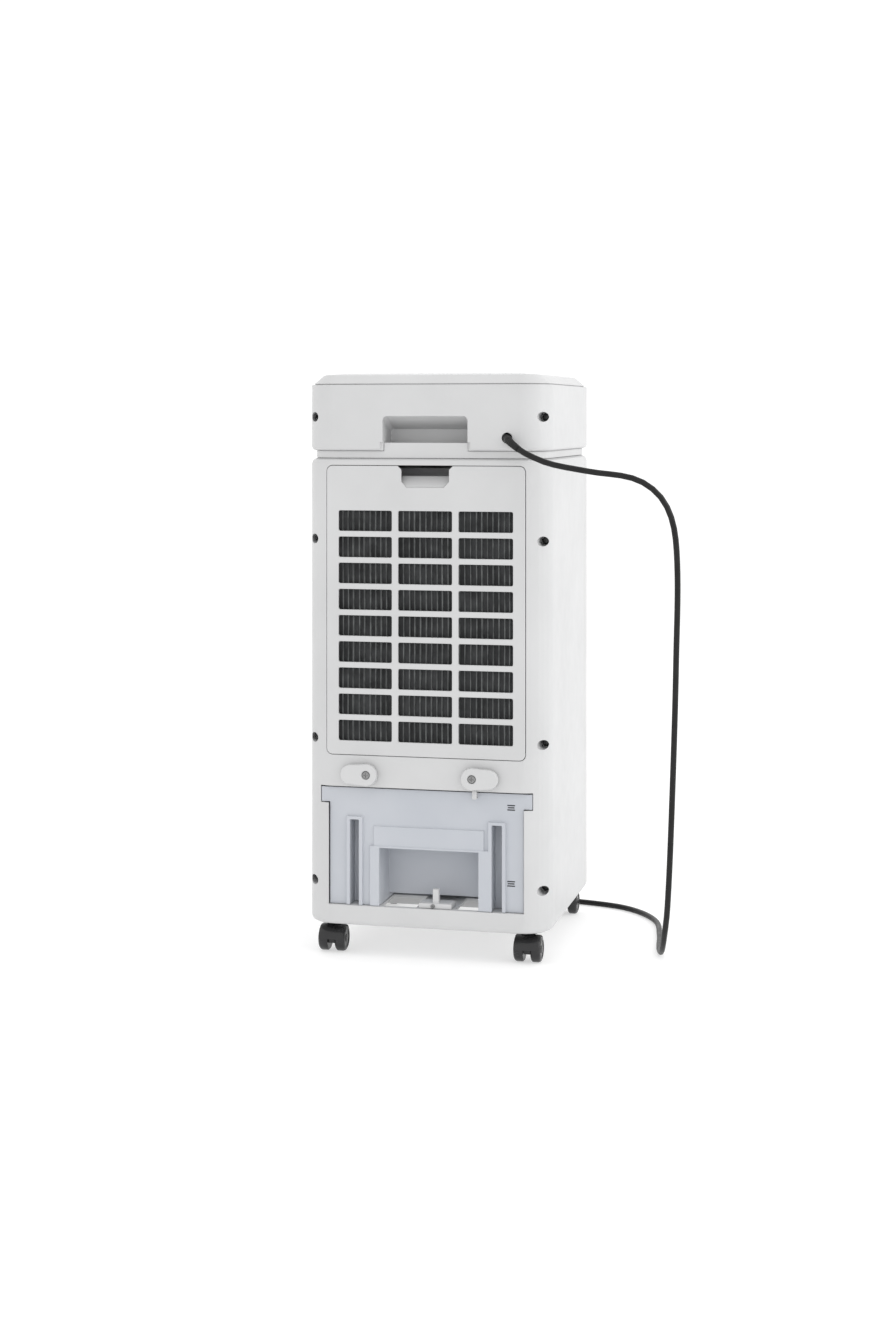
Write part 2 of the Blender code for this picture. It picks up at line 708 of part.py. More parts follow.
def latch(name, x, side):
    """A turn latch: a boss on the casing and an arm that swings down over the tank."""
    origin = Vector((x, REAR, LATCH_LEVEL))
    outline = []
    for index in range(13):
        angle = pi / 2 + pi * index / 12
        outline.append((LATCH_RADIUS * cos(angle), LATCH_RADIUS * sin(angle)))
    tip = LATCH_RADIUS - 0.0015
    for index in range(13):
        angle = -pi / 2 + pi * index / 12
        outline.append((LATCH_REACH - tip + 0.0025 + tip * cos(angle), tip * sin(angle)))
    placed = [(x + side * across_x, LATCH_LEVEL + up) for across_x, up in outline]
    arm = prism(placed, "Y", (LATCH_ARM, LATCH_FACE))
    join(arm, rod((x, LATCH_BASE, LATCH_LEVEL), (x, LATCH_ARM + 0.002, LATCH_LEVEL), 0.0085, sides=24))
    cut(arm, rod((x, REAR - 0.01, LATCH_LEVEL), (x, REAR + 0.02, LATCH_LEVEL), 0.0024))
    cut(arm, rod((x, REAR + 0.0065, LATCH_LEVEL), (x, REAR + 0.02, LATCH_LEVEL), 0.0048, sides=12))
    return finish(arm, f"latch_{name}", white_plastic(), origin)


def latch_screw(name, x):
    screw = rod((x, REAR - 0.009, LATCH_LEVEL), (x, REAR + 0.0075, LATCH_LEVEL), 0.0020, sides=12)
    join(screw, rod((x, REAR + 0.0068, LATCH_LEVEL), (x, REAR + 0.0088, LATCH_LEVEL), 0.0043, sides=12))
    return finish(screw, f"latch_screw_{name}", steel())


def water_pump():
    outline = rounded((PUMP.x - 0.017, PUMP.x + 0.017), (0.066, 0.0985), 0.004)
    pump = prism(outline, "Z", (PUMP.z, PUMP.z + 0.038))
    join(pump, rod((PUMP.x, PUMP.y, PUMP.z + 0.036), (PUMP.x, PUMP.y, PUMP.z + 0.048), HOSE_RADIUS))
    return finish(pump, "water_pump", black_plastic())


def pump_bracket():
    """The strap that hangs the pump from the drip tray into the tank."""
    high = DRIP_TRAY_LEVEL - GAP
    strap = block((0.072, 0.098), (0.0988, 0.1013), (0.066, high))
    join(strap, block((0.072, 0.098), (0.0992, 0.1110), (high - 0.0025, high)))
    return finish(strap, "pump_bracket", steel())


def tube(name, points, radius, finish_material, resolution=2):
    """A round tube along points, as a curve with filled ends."""
    curve = bpy.data.curves.new(name, "CURVE")
    curve.dimensions = "3D"
    curve.bevel_depth = radius
    curve.bevel_resolution = resolution
    curve.use_fill_caps = True
    spline = curve.splines.new("POLY")
    spline.points.add(len(points) - 1)
    for place, point in zip(spline.points, points):
        place.co = (*point, 1.0)
    curve.materials.append(finish_material)
    made = bpy.data.objects.new(name, curve)
    bpy.context.collection.objects.link(made)
    return made


def smooth_route(route, spacing):
    """Points evenly spaced on a smooth curve that passes through a route's own points."""
    route = [Vector(point) for point in route]
    dense = []
    for index in range(len(route) - 1):
        here, there = route[index], route[index + 1]
        before = route[index - 1] if index else here
        after = route[index + 2] if index + 2 < len(route) else there
        reach = (there - here).length / 3
        leave = (there - before).normalized() * reach
        arrive = (after - here).normalized() * reach
        dense += interpolate_bezier(here, here + leave, there - arrive, there, 24)[:-1]
    dense.append(route[-1])
    lengths = [0.0]
    for index in range(1, len(dense)):
        lengths.append(lengths[-1] + (dense[index] - dense[index - 1]).length)
    count = max(2, round(lengths[-1] / spacing))
    points = []
    index = 0
    for step in range(count + 1):
        target = lengths[-1] * step / count
        while index < len(dense) - 2 and lengths[index + 1] < target:
            index += 1
        share = (target - lengths[index]) / (lengths[index + 1] - lengths[index])
        points.append(dense[index].lerp(dense[index + 1], share))
    return points


def water_hose():
    """The hose from the pump straight up to the trough, with its top bent over at 45 degrees."""
    end = HOSE_INLET + GAP * HOSE_SLOPE
    turn = end + 0.004 * HOSE_SLOPE
    bend = (turn.y - PUMP.y) / (1 - cos(pi / 4))
    base = turn.z - bend * sin(pi / 4)
    points = [Vector((PUMP.x, PUMP.y, PUMP.z + 0.048 + GAP))]
    points += [Vector((PUMP.x, PUMP.y, level)) for level in (0.200, 0.350)]
    for index in range(6):
        angle = pi / 4 * index / 5
        points.append(Vector((PUMP.x, PUMP.y + bend * (1 - cos(angle)), base + bend * sin(angle))))
    points.append(end)
    return tube("water_hose", points, HOSE_RADIUS, material("clear_hose", (0.6, 0.62, 0.63), 0.2))


# Fan


def spiral(start_radius, end_radius, sides=32):
    """The fan casing's outline: a spiral that opens towards the outlet."""
    points = []
    for index in range(sides):
        share = index / sides
        angle = pi * 0.75 + 2 * pi * share
        radius = start_radius + (end_radius - start_radius) * share
        points.append((radius * cos(angle), FAN_CENTRE_Z + radius * sin(angle)))
    return points


def fan_scroll():
    """The fan's spiral casing on its two feet, with the plenum that feeds the outlet."""
    wall = SCROLL_WALL
    small, large = SCROLL_RADII
    casing = prism(spiral(small, large), "Y", (SCROLL_FRONT, SCROLL_REAR))
    half = PLENUM_HALF
    join(casing, block((-half, half), (PLENUM_FRONT, SCROLL_REAR), (PLENUM_BOTTOM, PLENUM_TOP)))
    deck = DRIP_TRAY_LEVEL + 0.003 + GAP
    for x in (-0.060, 0.048):
        join(casing, block((x, x + 0.012), (-0.012, 0.066), (deck, 0.270)))
    inner_y = (SCROLL_FRONT + wall, SCROLL_REAR - wall)
    space = prism(spiral(small - wall, large - wall), "Y", inner_y)
    half = PLENUM_HALF - wall
    inner_y = (PLENUM_FRONT - 0.01, SCROLL_REAR - wall)
    join(space, block((-half, half), inner_y, (PLENUM_BOTTOM + wall, PLENUM_TOP - wall)))
    cut(casing, space)
    for y, radius in ((SCROLL_REAR, INLET_RADIUS), (SCROLL_FRONT, MOTOR_HOLE_RADIUS)):
        ends = [(0.0, y + step, FAN_CENTRE_Z) for step in (-0.01, 0.01)]
        cut(casing, rod(*ends, radius, sides=32))
    return finish(casing, "fan_scroll", grey_plastic())


def fan_wheel():
    """The centrifugal wheel: a ring of blades on a disc, with a hub."""
    profile = [
        (FAN_BORE, 0.0),
        (FAN_RADIUS, 0.0),
        (FAN_RADIUS, FAN_REAR),
        (FAN_EYE, FAN_REAR),
        (FAN_EYE, 0.003),
        (0.012, 0.003),
        (0.012, 0.020),
        (FAN_BORE, 0.020),
    ]
    centre = Vector((0.0, 0.0, FAN_CENTRE_Z))
    wheel = turned(profile, centre, (0, 1, 0), sides=32)
    gaps = []
    for index in range(FAN_BLADES):
        gap = block((0.058, FAN_RADIUS + 0.01), (0.004, FAN_REAR - 0.005), (-0.0034, 0.0034))
        middle = Matrix.Translation((0.070, 0, 0))
        gap.data.transform(middle @ Matrix.Rotation(BLADE_LEAN, 4, "Y") @ middle.inverted())
        gap.data.transform(Matrix.Rotation(2 * pi * index / FAN_BLADES, 4, "Y"))
        gap.data.transform(Matrix.Translation(centre))
        gaps.append(gap)
    cut(wheel, several(gaps))
    return finish(wheel, "fan_wheel", grey_plastic(), centre)


def fan_shaft(wheel):
    shaft = rod((0, -0.044, FAN_CENTRE_Z), (0, 0.024, FAN_CENTRE_Z), 0.0040)
    return finish(shaft, "fan_shaft", steel(), (0.0, 0.0, FAN_CENTRE_Z), wheel)


def fan_motor():
    """The motor can, with the flange that seats on the fan casing and the shaft's bore."""
    z = FAN_CENTRE_Z
    motor = rod((0, -0.058, z), (0, SCROLL_FRONT - 0.002, z), 0.032, sides=32)
    join(motor, rod((0, SCROLL_FRONT - 0.003, z), (0, SCROLL_FRONT - GAP, z), 0.040, sides=32))
    cut(motor, rod((0, -0.050, z), (0, 0.0, z), 0.0046))
    return finish(motor, "fan_motor", steel())


# Air outlet


def outlet_frame():
    """The duct that holds the louvres and vanes, with a bezel standing out from the front."""
    span_z = (OUTLET_BOTTOM, OUTLET_TOP)
    frame = block((-OUTLET_HALF, OUTLET_HALF), (BEZEL_FACE + 0.002, OUTLET_REAR), span_z)
    wide = OUTLET_HALF + BEZEL_MARGIN
    tall = (OUTLET_BOTTOM - BEZEL_MARGIN, OUTLET_TOP + BEZEL_MARGIN)
    bezel = prism(rounded((-wide, wide), tall, BEZEL_MARGIN), "Y", (BEZEL_FACE, FRONT - GAP))
    join(frame, bezel)
    inner = OUTLET_HALF - OUTLET_RIM
    opening = (OUTLET_BOTTOM + OUTLET_RIM, OUTLET_TOP - OUTLET_RIM)
    cut(frame, block((-inner, inner), (BEZEL_FACE - 0.01, 0.0), opening))
    edge = OUTLET_HALF - 0.002
    bores = [rod((-edge, LOUVRE_Y, z), (edge, LOUVRE_Y, z), 0.0018, sides=6) for z in LOUVRE_LEVELS]
    cut(frame, several(bores))
    low, high = OUTLET_BOTTOM + 0.002, OUTLET_TOP - 0.002
    cut(frame, several([rod((x, VANE_Y, low), (x, VANE_Y, high), 0.0018, sides=6) for x in VANES_X]))
    return finish(frame, "outlet_frame", grey_plastic())


def louvre(index, level):
    """One horizontal outlet blade with its two pivot pins."""
    half = OUTLET_HALF - OUTLET_RIM - 0.0008
    section = [(-0.0098, -0.0003), (-0.006, -0.0012), (0.0, -0.0015), (0.006, -0.0012), (0.0098, -0.0003)]
    section = section + [(y, -z) for y, z in reversed(section)]
    blade = prism([(LOUVRE_Y + y, level + z) for y, z in section], "X", (-half, half))
    pin = OUTLET_HALF - 0.003
    join(blade, rod((-pin, LOUVRE_Y, level), (pin, LOUVRE_Y, level), 0.0013, sides=6))
    return finish(blade, f"louvre_{index}", grey_plastic(), (0.0, LOUVRE_Y, level))


def swing_vane(index, x):
    """One upright vane behind the louvres, with its two pivot pins."""
    low, high = OUTLET_BOTTOM + OUTLET_RIM + 0.0008, OUTLET_TOP - OUTLET_RIM - 0.0008
    section = [(-0.0003, -0.0078), (-0.0010, -0.004), (-0.0013, 0.0), (-0.0010, 0.004), (-0.0003, 0.0078)]
    section = section + [(-a, b) for a, b in reversed(section)]
    vane = prism([(x + a, VANE_Y + b) for a, b in section], "Z", (low, high))
    join(vane, rod((x, VANE_Y, OUTLET_BOTTOM + 0.003), (x, VANE_Y, OUTLET_TOP - 0.003), 0.0011, sides=6))
    return finish(vane, f"swing_vane_{index}", grey_plastic(), (x, VANE_Y, (low + high) / 2))


def swing_motor():
    """The small geared motor over the outlet that swings the vanes."""
    motor = block((-0.074, -0.046), (-0.128, -0.100), (OUTLET_TOP + GAP, OUTLET_TOP + 0.0135))
    return finish(motor, "swing_motor", steel())


# Controls


def control_panel():
    plate = block((-PANEL_X, PANEL_X), PANEL_Y, (PANEL_TOP - 0.0025, PANEL_TOP))
    cut(plate, block((-WINDOW_X, WINDOW_X), WINDOW_Y, (PANEL_TOP - 0.01, PANEL_TOP + 0.01)))
    low, high = PANEL_TOP - 0.01, PANEL_TOP + 0.01
    holes = [rod((x, BUTTON_Y, low), (x, BUTTON_Y, high), BUTTON_HOLE, sides=14) for x in BUTTONS_X]
    cut(plate, several(holes))
    return finish(plate, "control_panel", black_plastic())


def display_window():
    x = WINDOW_X - 0.0004
    y = (WINDOW_Y[0] + 0.0004, WINDOW_Y[1] - 0.0004)
    pane = block((-x, x), y, (PANEL_TOP - 0.0022, PANEL_TOP - 0.0002))
    return finish(pane, "display_window", material("smoked_window", (0.03, 0.035, 0.05), 0.08))


def button(index, x):
    """One push button, with the flange that keeps it under the panel."""
    top = PANEL_TOP + 0.001
    cap = rod((x, BUTTON_Y, PANEL_TOP - 0.005), (x, BUTTON_Y, top), BUTTON_RADIUS, sides=14)
    flange = [(x, BUTTON_Y, PANEL_TOP - depth) for depth in (0.0052, 0.0031)]
    join(cap, rod(*flange, BUTTON_FLANGE, sides=14))
    return finish(cap, f"button_{index}", grey_plastic(), (x, BUTTON_Y, top))


def control_board():
    board = block((-0.080, 0.080), (-0.118, -0.064), (0.6215, 0.6231))
    y = (BUTTON_Y - 0.003, BUTTON_Y + 0.003)
    join(board, *[block((x - 0.003, x + 0.003), y, (0.6228, 0.6268)) for x in BUTTONS_X])
    return finish(board, "control_board", material("circuit_board", (0.03, 0.16, 0.07), 0.5))


# Casters


def caster_fork(name, x, y, trail):
    """The swivelling part of one caster: a stem, a top disc and a web between the two wheels."""
    axle_y, axle_z = y + trail, WHEEL_RADIUS
    fork = rod((x, y, BODY_BOTTOM - 0.0042), (x, y, BODY_BOTTOM - 0.0006), 0.0105)
    join(fork, rod((x, y, BODY_BOTTOM - 0.002), (x, y, STEM_TOP), STEM_RADIUS))
    web = []
    for index in range(17):
        angle = -pi * 0.42 + pi * 1.84 * index / 16
        web.append((axle_y + HUB_RADIUS * cos(angle), axle_z + HUB_RADIUS * sin(angle)))
    span_x = (x - WEB_HALF, x + WEB_HALF)
    join(fork, prism(web, "X", span_x))
    join(fork, block(span_x, (y - 0.0080, y + 0.0080), (0.0175, BODY_BOTTOM - 0.003)))
    cut(fork, rod((x - 0.02, axle_y, axle_z), (x + 0.02, axle_y, axle_z), AXLE_BORE))
    return finish(fork, f"caster_fork_{name}", black_plastic(), (x, y, BODY_BOTTOM))


def caster_wheels(name, x, y, trail, fork):
    """The two wheels of one caster on their shared axle."""
    centre = Vector((x, y + trail, WHEEL_RADIUS))
    reach = Vector((WHEEL_OUTER - 0.001, 0, 0))
    wheels = rod(centre - reach, centre + reach, AXLE_RADIUS)
    for side in (-1, 1):
        profile = [
            (0.0010, WHEEL_INNER),
            (WHEEL_RADIUS, WHEEL_INNER),
            (WHEEL_RADIUS, WHEEL_OUTER - 2 * WHEEL_EDGE),
            (WHEEL_RADIUS - 2 * WHEEL_EDGE, WHEEL_OUTER),
            (0.0010, WHEEL_OUTER),
        ]
        wheel = turned(profile, centre, (side, 0, 0), sides=16)
        join(wheels, wheel)
    return finish(wheels, f"caster_wheels_{name}", black_plastic(), centre, fork)


# Mains cord


def cord_relief():
    """The tapered sleeve that carries the cord out of its hole."""
    start = CORD_EXIT - Vector((-0.0012, 0.0035, -0.0005))
    first = start.lerp(RELIEF_END, 0.35) + Vector((0.0030, 0.0030, 0.0015))
    second = start.lerp(RELIEF_END, 0.70) + Vector((0.0026, 0.0026, 0.0015))
    relief = tube("cord_relief", [start, first, second, RELIEF_END], 1.0, black_plastic(), 3)
    for place, radius in zip(relief.data.splines[0].points, (0.0046, 0.0043, 0.0040, 0.0037)):
        place.radius = radius
    return relief


def cord_points():
    leave = (Vector(CORD_ROUTE[0]) - RELIEF_END).normalized()
    return smooth_route([RELIEF_END + 0.0005 * leave, *CORD_ROUTE], CORD_SPACING)


def power_cord():
    return tube("power_cord", cord_points(), CORD_RADIUS, material("cord_rubber", (0.02, 0.02, 0.02), 0.5))


def cord_coil():
    """The outer shape of the wound-up part of the cord, lying on the floor."""
    profile = [
        (COIL_INNER, COIL_EDGE),
        (COIL_INNER + COIL_EDGE, COIL_BOTTOM),
        (COIL_OUTER - COIL_EDGE, COIL_BOTTOM),
        (COIL_OUTER, COIL_EDGE),
        (COIL_OUTER, COIL_TOP - COIL_EDGE),
        (COIL_OUTER - COIL_EDGE, COIL_TOP),
        (COIL_INNER + COIL_EDGE, COIL_TOP),
        (COIL_INNER, COIL_TOP - COIL_EDGE),
    ]
    coil = turned(profile, COIL_CENTRE, (0, 0, 1), sides=24)
    return finish(coil, "cord_coil", material("cord_rubber", (0.02, 0.02, 0.02), 0.5))


def cord_tail():
    """The last of the cord, from the coil to the plug."""
    points = smooth_route(TAIL_ROUTE, CORD_SPACING / 2)
    return tube("cord_tail", points, CORD_RADIUS, material("cord_rubber", (0.02, 0.02, 0.02), 0.5))


def mains_plug():
    """A two-pin plug lying on the floor at the end of the cord."""
    x, y, z = PLUG_CENTRE
    outline = [(x, y - 0.006), (x + 0.012, y - 0.008), (x + 0.030, y - 0.0175), (x + 0.038, y - 0.0175)]
    outline += [(a, 2 * y - b) for a, b in reversed(outline)]
    plug = prism(outline, "Z", (z - PLUG_HALF, z + PLUG_HALF))
    for side in (-1, 1):
        pin_y = y + side * 0.0095
        join(plug, rod((x + 0.036, pin_y, z), (x + 0.056, pin_y, z), 0.0024))
    return finish(plug, "mains_plug", black_plastic())


def build():
    for old in list(bpy.data.objects):
        bpy.data.objects.remove(old)
    for make in (base_tray, rear_shell, front_shell, neck_ring, head_shell, top_cover):
        make()
    dust_filter(filter_cover())
    for make in (cooling_pad, pad_frame, water_distributor, drip_tray):
        make()
    tank_tab(water_tank())
    tank_stop()
    tank_stop_screw()
    for name, x, side in LATCHES:
        latch(name, x, side)
        latch_screw(name, x)
    for make in (water_pump, pump_bracket, water_hose, fan_scroll, fan_motor, outlet_frame, swing_motor):
        make()
    fan_shaft(fan_wheel())
    for index, level in enumerate(LOUVRE_LEVELS, 1):
        louvre(index, level)
    for index, x in enumerate(VANES_X, 1):
        swing_vane(index, x)
    for make in (control_panel, display_window, control_board):
        make()
    for index, x in enumerate(BUTTONS_X, 1):
        button(index, x)
    for name, side_x, side_y in CASTERS:
        x, y, trail = side_x * CASTER_X, side_y * CASTER_Y, side_y * CASTER_TRAIL
        caster_wheels(name, x, y, trail, caster_fork(name, x, y, trail))
    cord_relief()
    power_cord()
    cord_coil()
    cord_tail()
    mains_plug()


build()
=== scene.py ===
"""The looks of the evaporative cooler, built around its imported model.

Units are metres in the model's own frame: +Z is up, the rear face looks to +Y, and the origin is on
the floor under the middle of the casing.
"""

import json
from math import cos, pi, radians, sin
from random import Random

import bmesh
import bpy
from mathutils import Matrix, Vector
from mathutils.geometry import interpolate_bezier


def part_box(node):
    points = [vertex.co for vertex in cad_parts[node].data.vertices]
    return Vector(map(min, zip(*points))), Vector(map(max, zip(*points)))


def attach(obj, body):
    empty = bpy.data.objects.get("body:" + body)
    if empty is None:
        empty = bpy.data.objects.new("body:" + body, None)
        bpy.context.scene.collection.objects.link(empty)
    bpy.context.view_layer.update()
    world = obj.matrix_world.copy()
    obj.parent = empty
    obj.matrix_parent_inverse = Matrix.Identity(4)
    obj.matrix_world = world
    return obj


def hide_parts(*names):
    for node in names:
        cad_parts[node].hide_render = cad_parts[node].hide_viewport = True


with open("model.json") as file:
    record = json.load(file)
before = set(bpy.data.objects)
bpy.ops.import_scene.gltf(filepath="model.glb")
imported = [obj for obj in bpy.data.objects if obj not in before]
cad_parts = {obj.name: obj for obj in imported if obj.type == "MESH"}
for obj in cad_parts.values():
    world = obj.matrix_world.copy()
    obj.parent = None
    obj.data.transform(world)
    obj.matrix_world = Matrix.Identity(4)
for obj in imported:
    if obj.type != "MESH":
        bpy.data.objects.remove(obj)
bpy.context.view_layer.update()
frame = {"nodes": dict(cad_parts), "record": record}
nodes = frame["nodes"]


# Camera

CAMERA_PLACE = (-0.5457, 2.3867, 0.5880)
CAMERA_TURN = radians(193.36)
LENS_MM, SENSOR_MM = 57.40, 36.0
FRAME_SHIFT = -0.1905


def camera():
    """The camera looks level at the rear, from the machine's right, with its frame shifted down."""
    data = bpy.data.cameras.new("camera")
    data.lens = LENS_MM
    data.sensor_width = SENSOR_MM
    data.shift_y = FRAME_SHIFT
    made = bpy.data.objects.new("camera", data)
    made.location = CAMERA_PLACE
    made.rotation_euler = (pi / 2, 0.0, CAMERA_TURN)
    bpy.context.scene.collection.objects.link(made)
    bpy.context.scene.camera = made


# Materials


class Nodes:
    """A material's node tree, with short ways to add what the finishes here share."""

    def __init__(self, name):
        self.material = bpy.data.materials.new(name)
        self.material.use_nodes = True
        self.tree = self.material.node_tree
        self.shader = self.tree.nodes["Principled BSDF"]
        self.place = self.add("ShaderNodeTexCoord").outputs["Object"]

    def add(self, kind, **values):
        node = self.tree.nodes.new(kind)
        for key, value in values.items():
            setattr(node, key, value)
        return node

    def link(self, source, target):
        self.tree.links.new(source, target)

    def noise(self, scale, detail=3.0, stretch=None):
        node = self.add("ShaderNodeTexNoise")
        node.inputs["Scale"].default_value = scale
        node.inputs["Detail"].default_value = detail
        place = self.place
        if stretch:
            mapping = self.add("ShaderNodeMapping")
            mapping.inputs["Scale"].default_value = stretch
            self.link(place, mapping.inputs["Vector"])
            place = mapping.outputs["Vector"]
        self.link(place, node.inputs["Vector"])
        return node.outputs["Fac"]

    def ramp(self, factor, stops):
        node = self.add("ShaderNodeValToRGB")
        ramp = node.color_ramp
        while len(ramp.elements) < len(stops):
            ramp.elements.new(0.5)
        for element, (position, colour) in zip(ramp.elements, stops):
            element.position = position
            element.color = (*colour, 1.0)
        self.link(factor, node.inputs["Fac"])
        return node.outputs["Color"]

    def grey_ramp(self, factor, low, high):
        return self.ramp(factor, ((0.3, (low,) * 3), (0.7, (high,) * 3)))

    def bump(self, height, strength, distance):
        node = self.add("ShaderNodeBump")
        node.inputs["Strength"].default_value = strength
        node.inputs["Distance"].default_value = distance
        self.link(height, node.inputs["Height"])
        self.link(node.outputs["Normal"], self.shader.inputs["Normal"])

    def colour(self, source):
        self.link(source, self.shader.inputs["Base Color"])

    def roughness(self, source):
        self.link(source, self.shader.inputs["Roughness"])


MATERIALS = {}


def finish_of(maker):
    """Make each finish once."""
    if maker not in MATERIALS:
        MATERIALS[maker] = maker()
    return MATERIALS[maker]


def moulded(name, low, high, rough, grain=2200.0, depth=0.00003):
    """Injection-moulded plastic: faint cloudiness in the colour and a fine spark-eroded grain."""
    nodes_ = Nodes(name)
    nodes_.colour(nodes_.ramp(nodes_.noise(14.0), ((0.35, low), (0.65, high))))
    nodes_.roughness(nodes_.grey_ramp(nodes_.noise(60.0), rough - 0.04, rough + 0.05))
    nodes_.bump(nodes_.noise(grain, detail=2.0), 0.25, depth)
    return nodes_.material


def white_plastic():
    return moulded("white_plastic", (0.565, 0.567, 0.570), (0.590, 0.592, 0.595), 0.42)


def grey_plastic():
    return moulded("grey_plastic", (0.42, 0.42, 0.43), (0.47, 0.47, 0.48), 0.46)


def black_plastic():
    return moulded("black_plastic", (0.010, 0.010, 0.011), (0.018, 0.018, 0.019), 0.24, depth=0.00002)


def tank_plastic():
    """Cloudy translucent polypropylene."""
    nodes_ = Nodes("tank_plastic")
    nodes_.colour(nodes_.ramp(nodes_.noise(9.0), ((0.3, (0.52, 0.545, 0.59)), (0.7, (0.58, 0.60, 0.64)))))
    nodes_.roughness(nodes_.grey_ramp(nodes_.noise(40.0), 0.38, 0.46))
    nodes_.shader.inputs["Transmission Weight"].default_value = 0.10
    nodes_.shader.inputs["IOR"].default_value = 1.3
    return nodes_.material


def tank_mark():
    return moulded("tank_mark", (0.012, 0.013, 0.016), (0.02, 0.022, 0.028), 0.55)


def filter_mesh():
    """Dark woven dust-filter cloth: a fine square weave with lint caught in it."""
    nodes_ = Nodes("filter_mesh")
    lint = nodes_.noise(55.0, detail=6.0)
    nodes_.colour(nodes_.ramp(lint, ((0.35, (0.022, 0.023, 0.024)), (0.75, (0.060, 0.062, 0.064)))))
    nodes_.shader.inputs["Roughness"].default_value = 0.88
    nodes_.bump(nodes_.noise(1400.0, detail=1.0), 0.6, 0.0002)
    return nodes_.material


def filter_ridge_highlight():
    """The same cloth where its folds stand up, painted lighter: a painted highlight where light catches the
    folds.
    """
    nodes_ = Nodes("filter_ridge_highlight")
    lint = nodes_.noise(90.0, detail=6.0)
    nodes_.colour(nodes_.ramp(lint, ((0.30, (0.045, 0.048, 0.048)), (0.70, (0.13, 0.135, 0.135)))))
    nodes_.shader.inputs["Roughness"].default_value = 0.9
    nodes_.bump(nodes_.noise(1400.0, detail=1.0), 0.6, 0.0002)
    return nodes_.material


def cellulose():
    """Kraft-brown corrugated paper with darker damp patches."""
    nodes_ = Nodes("cellulose")
    damp = nodes_.noise(30.0, detail=5.0)
    nodes_.colour(nodes_.ramp(damp, ((0.3, (0.16, 0.10, 0.055)), (0.7, (0.30, 0.20, 0.12)))))
    nodes_.shader.inputs["Roughness"].default_value = 0.92
    nodes_.bump(nodes_.noise(900.0, stretch=(1.0, 1.0, 0.1)), 0.5, 0.0001)
    return nodes_.material


def circuit_board():
    """Green solder mask with paler tracks."""
    nodes_ = Nodes("circuit_board")
    tracks = nodes_.noise(220.0, detail=0.0, stretch=(1.0, 0.15, 1.0))
    nodes_.colour(nodes_.ramp(tracks, ((0.50, (0.010, 0.09, 0.035)), (0.56, (0.03, 0.17, 0.07)))))
    nodes_.shader.inputs["Roughness"].default_value = 0.35
    return nodes_.material


def smoked_window():
    nodes_ = Nodes("smoked_window")
    nodes_.colour(nodes_.grey_ramp(nodes_.noise(20.0), 0.006, 0.010))
    nodes_.roughness(nodes_.grey_ramp(nodes_.noise(90.0), 0.05, 0.10))
    nodes_.shader.inputs["Coat Weight"].default_value = 0.5
    return nodes_.material


def clear_hose():
    nodes_ = Nodes("clear_hose")
    nodes_.colour(nodes_.grey_ramp(nodes_.noise(50.0), 0.66, 0.74))
    nodes_.roughness(nodes_.grey_ramp(nodes_.noise(120.0), 0.12, 0.22))
    nodes_.shader.inputs["Transmission Weight"].default_value = 0.6
    return nodes_.material


def steel():
    nodes_ = Nodes("steel")
    nodes_.colour(nodes_.grey_ramp(nodes_.noise(160.0), 0.24, 0.34))
    nodes_.roughness(nodes_.grey_ramp(nodes_.noise(300.0, stretch=(1.0, 1.0, 8.0)), 0.22, 0.40))
    nodes_.shader.inputs["Metallic"].default_value = 1.0
    return nodes_.material


def shade_darkened_steel():
    """Steel of the housing screws, darkened as painted shade for the deep holes they sit in."""
    nodes_ = Nodes("shade_darkened_steel")
    nodes_.colour(nodes_.grey_ramp(nodes_.noise(160.0), 0.05, 0.09))
    nodes_.roughness(nodes_.grey_ramp(nodes_.noise(300.0), 0.30, 0.45))
    nodes_.shader.inputs["Metallic"].default_value = 1.0
    return nodes_.material


def cord_rubber():
    nodes_ = Nodes("cord_rubber")
    nodes_.colour(nodes_.grey_ramp(nodes_.noise(90.0), 0.006, 0.012))
    nodes_.roughness(nodes_.grey_ramp(nodes_.noise(200.0), 0.34, 0.48))
    nodes_.shader.inputs["Specular IOR Level"].default_value = 0.28
    nodes_.bump(nodes_.noise(1500.0), 0.25, 0.00003)
    return nodes_.material


# Shapes


def mesh_piece(name, form, material, body, smooth=35.0):
    """Turn a bmesh into a piece that rides on a body."""
    bmesh.ops.recalc_face_normals(form, faces=form.faces)
    mesh = bpy.data.meshes.new(name)
    form.to_mesh(mesh)
    form.free()
    made = bpy.data.objects.new(name, mesh)
    bpy.context.scene.collection.objects.link(made)
    mesh.materials.append(material)
    mesh.shade_smooth()
    mesh.set_sharp_from_angle(angle=radians(smooth))
    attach(made, body)
    return made


def loft(form, loops):
    """Skin loops of equal length into a form, and close both ends."""
    rows = [[form.verts.new(point) for point in loop] for loop in loops]
    count = len(rows[0])
    for low, high in zip(rows, rows[1:]):
        for index in range(count):
            after = (index + 1) % count
            form.faces.new((low[index], low[after], high[after], high[index]))
    form.faces.new(rows[0][::-1])
    form.faces.new(rows[-1])
    return form


def across(direction):
    """Two directions square to one another and to the given one."""
    other = Vector((0, 0, 1)) if abs(direction.z) < 0.9 else Vector((1, 0, 0))
    first = direction.cross(other).normalized()
    return first, direction.cross(first).normalized()


def turned(form, profile, centre, direction, sides=32):
    """A solid turned about an axis, from its (radius, distance along) points, end to end."""
    direction = Vector(direction).normalized()
    first, second = across(direction)
    loops = []
    for radius, along in profile:
        angles = [2 * pi * index / sides for index in range(sides)]
        middle = Vector(centre) + along * direction
        loops.append([middle + radius * (cos(a) * first + sin(a) * second) for a in angles])
    return loft(form, loops)


def rectangle(low, high):
    """The corners of a rectangle, in turn, from two opposite ones."""
    return [(low[0], low[1]), (high[0], low[1]), (high[0], high[1]), (low[0], high[1])]


def box_form(form, low, high):
    corners = rectangle(low[:2], high[:2])
    return loft(form, [[(x, y, z) for x, y in corners] for z in (low[2], high[2])])


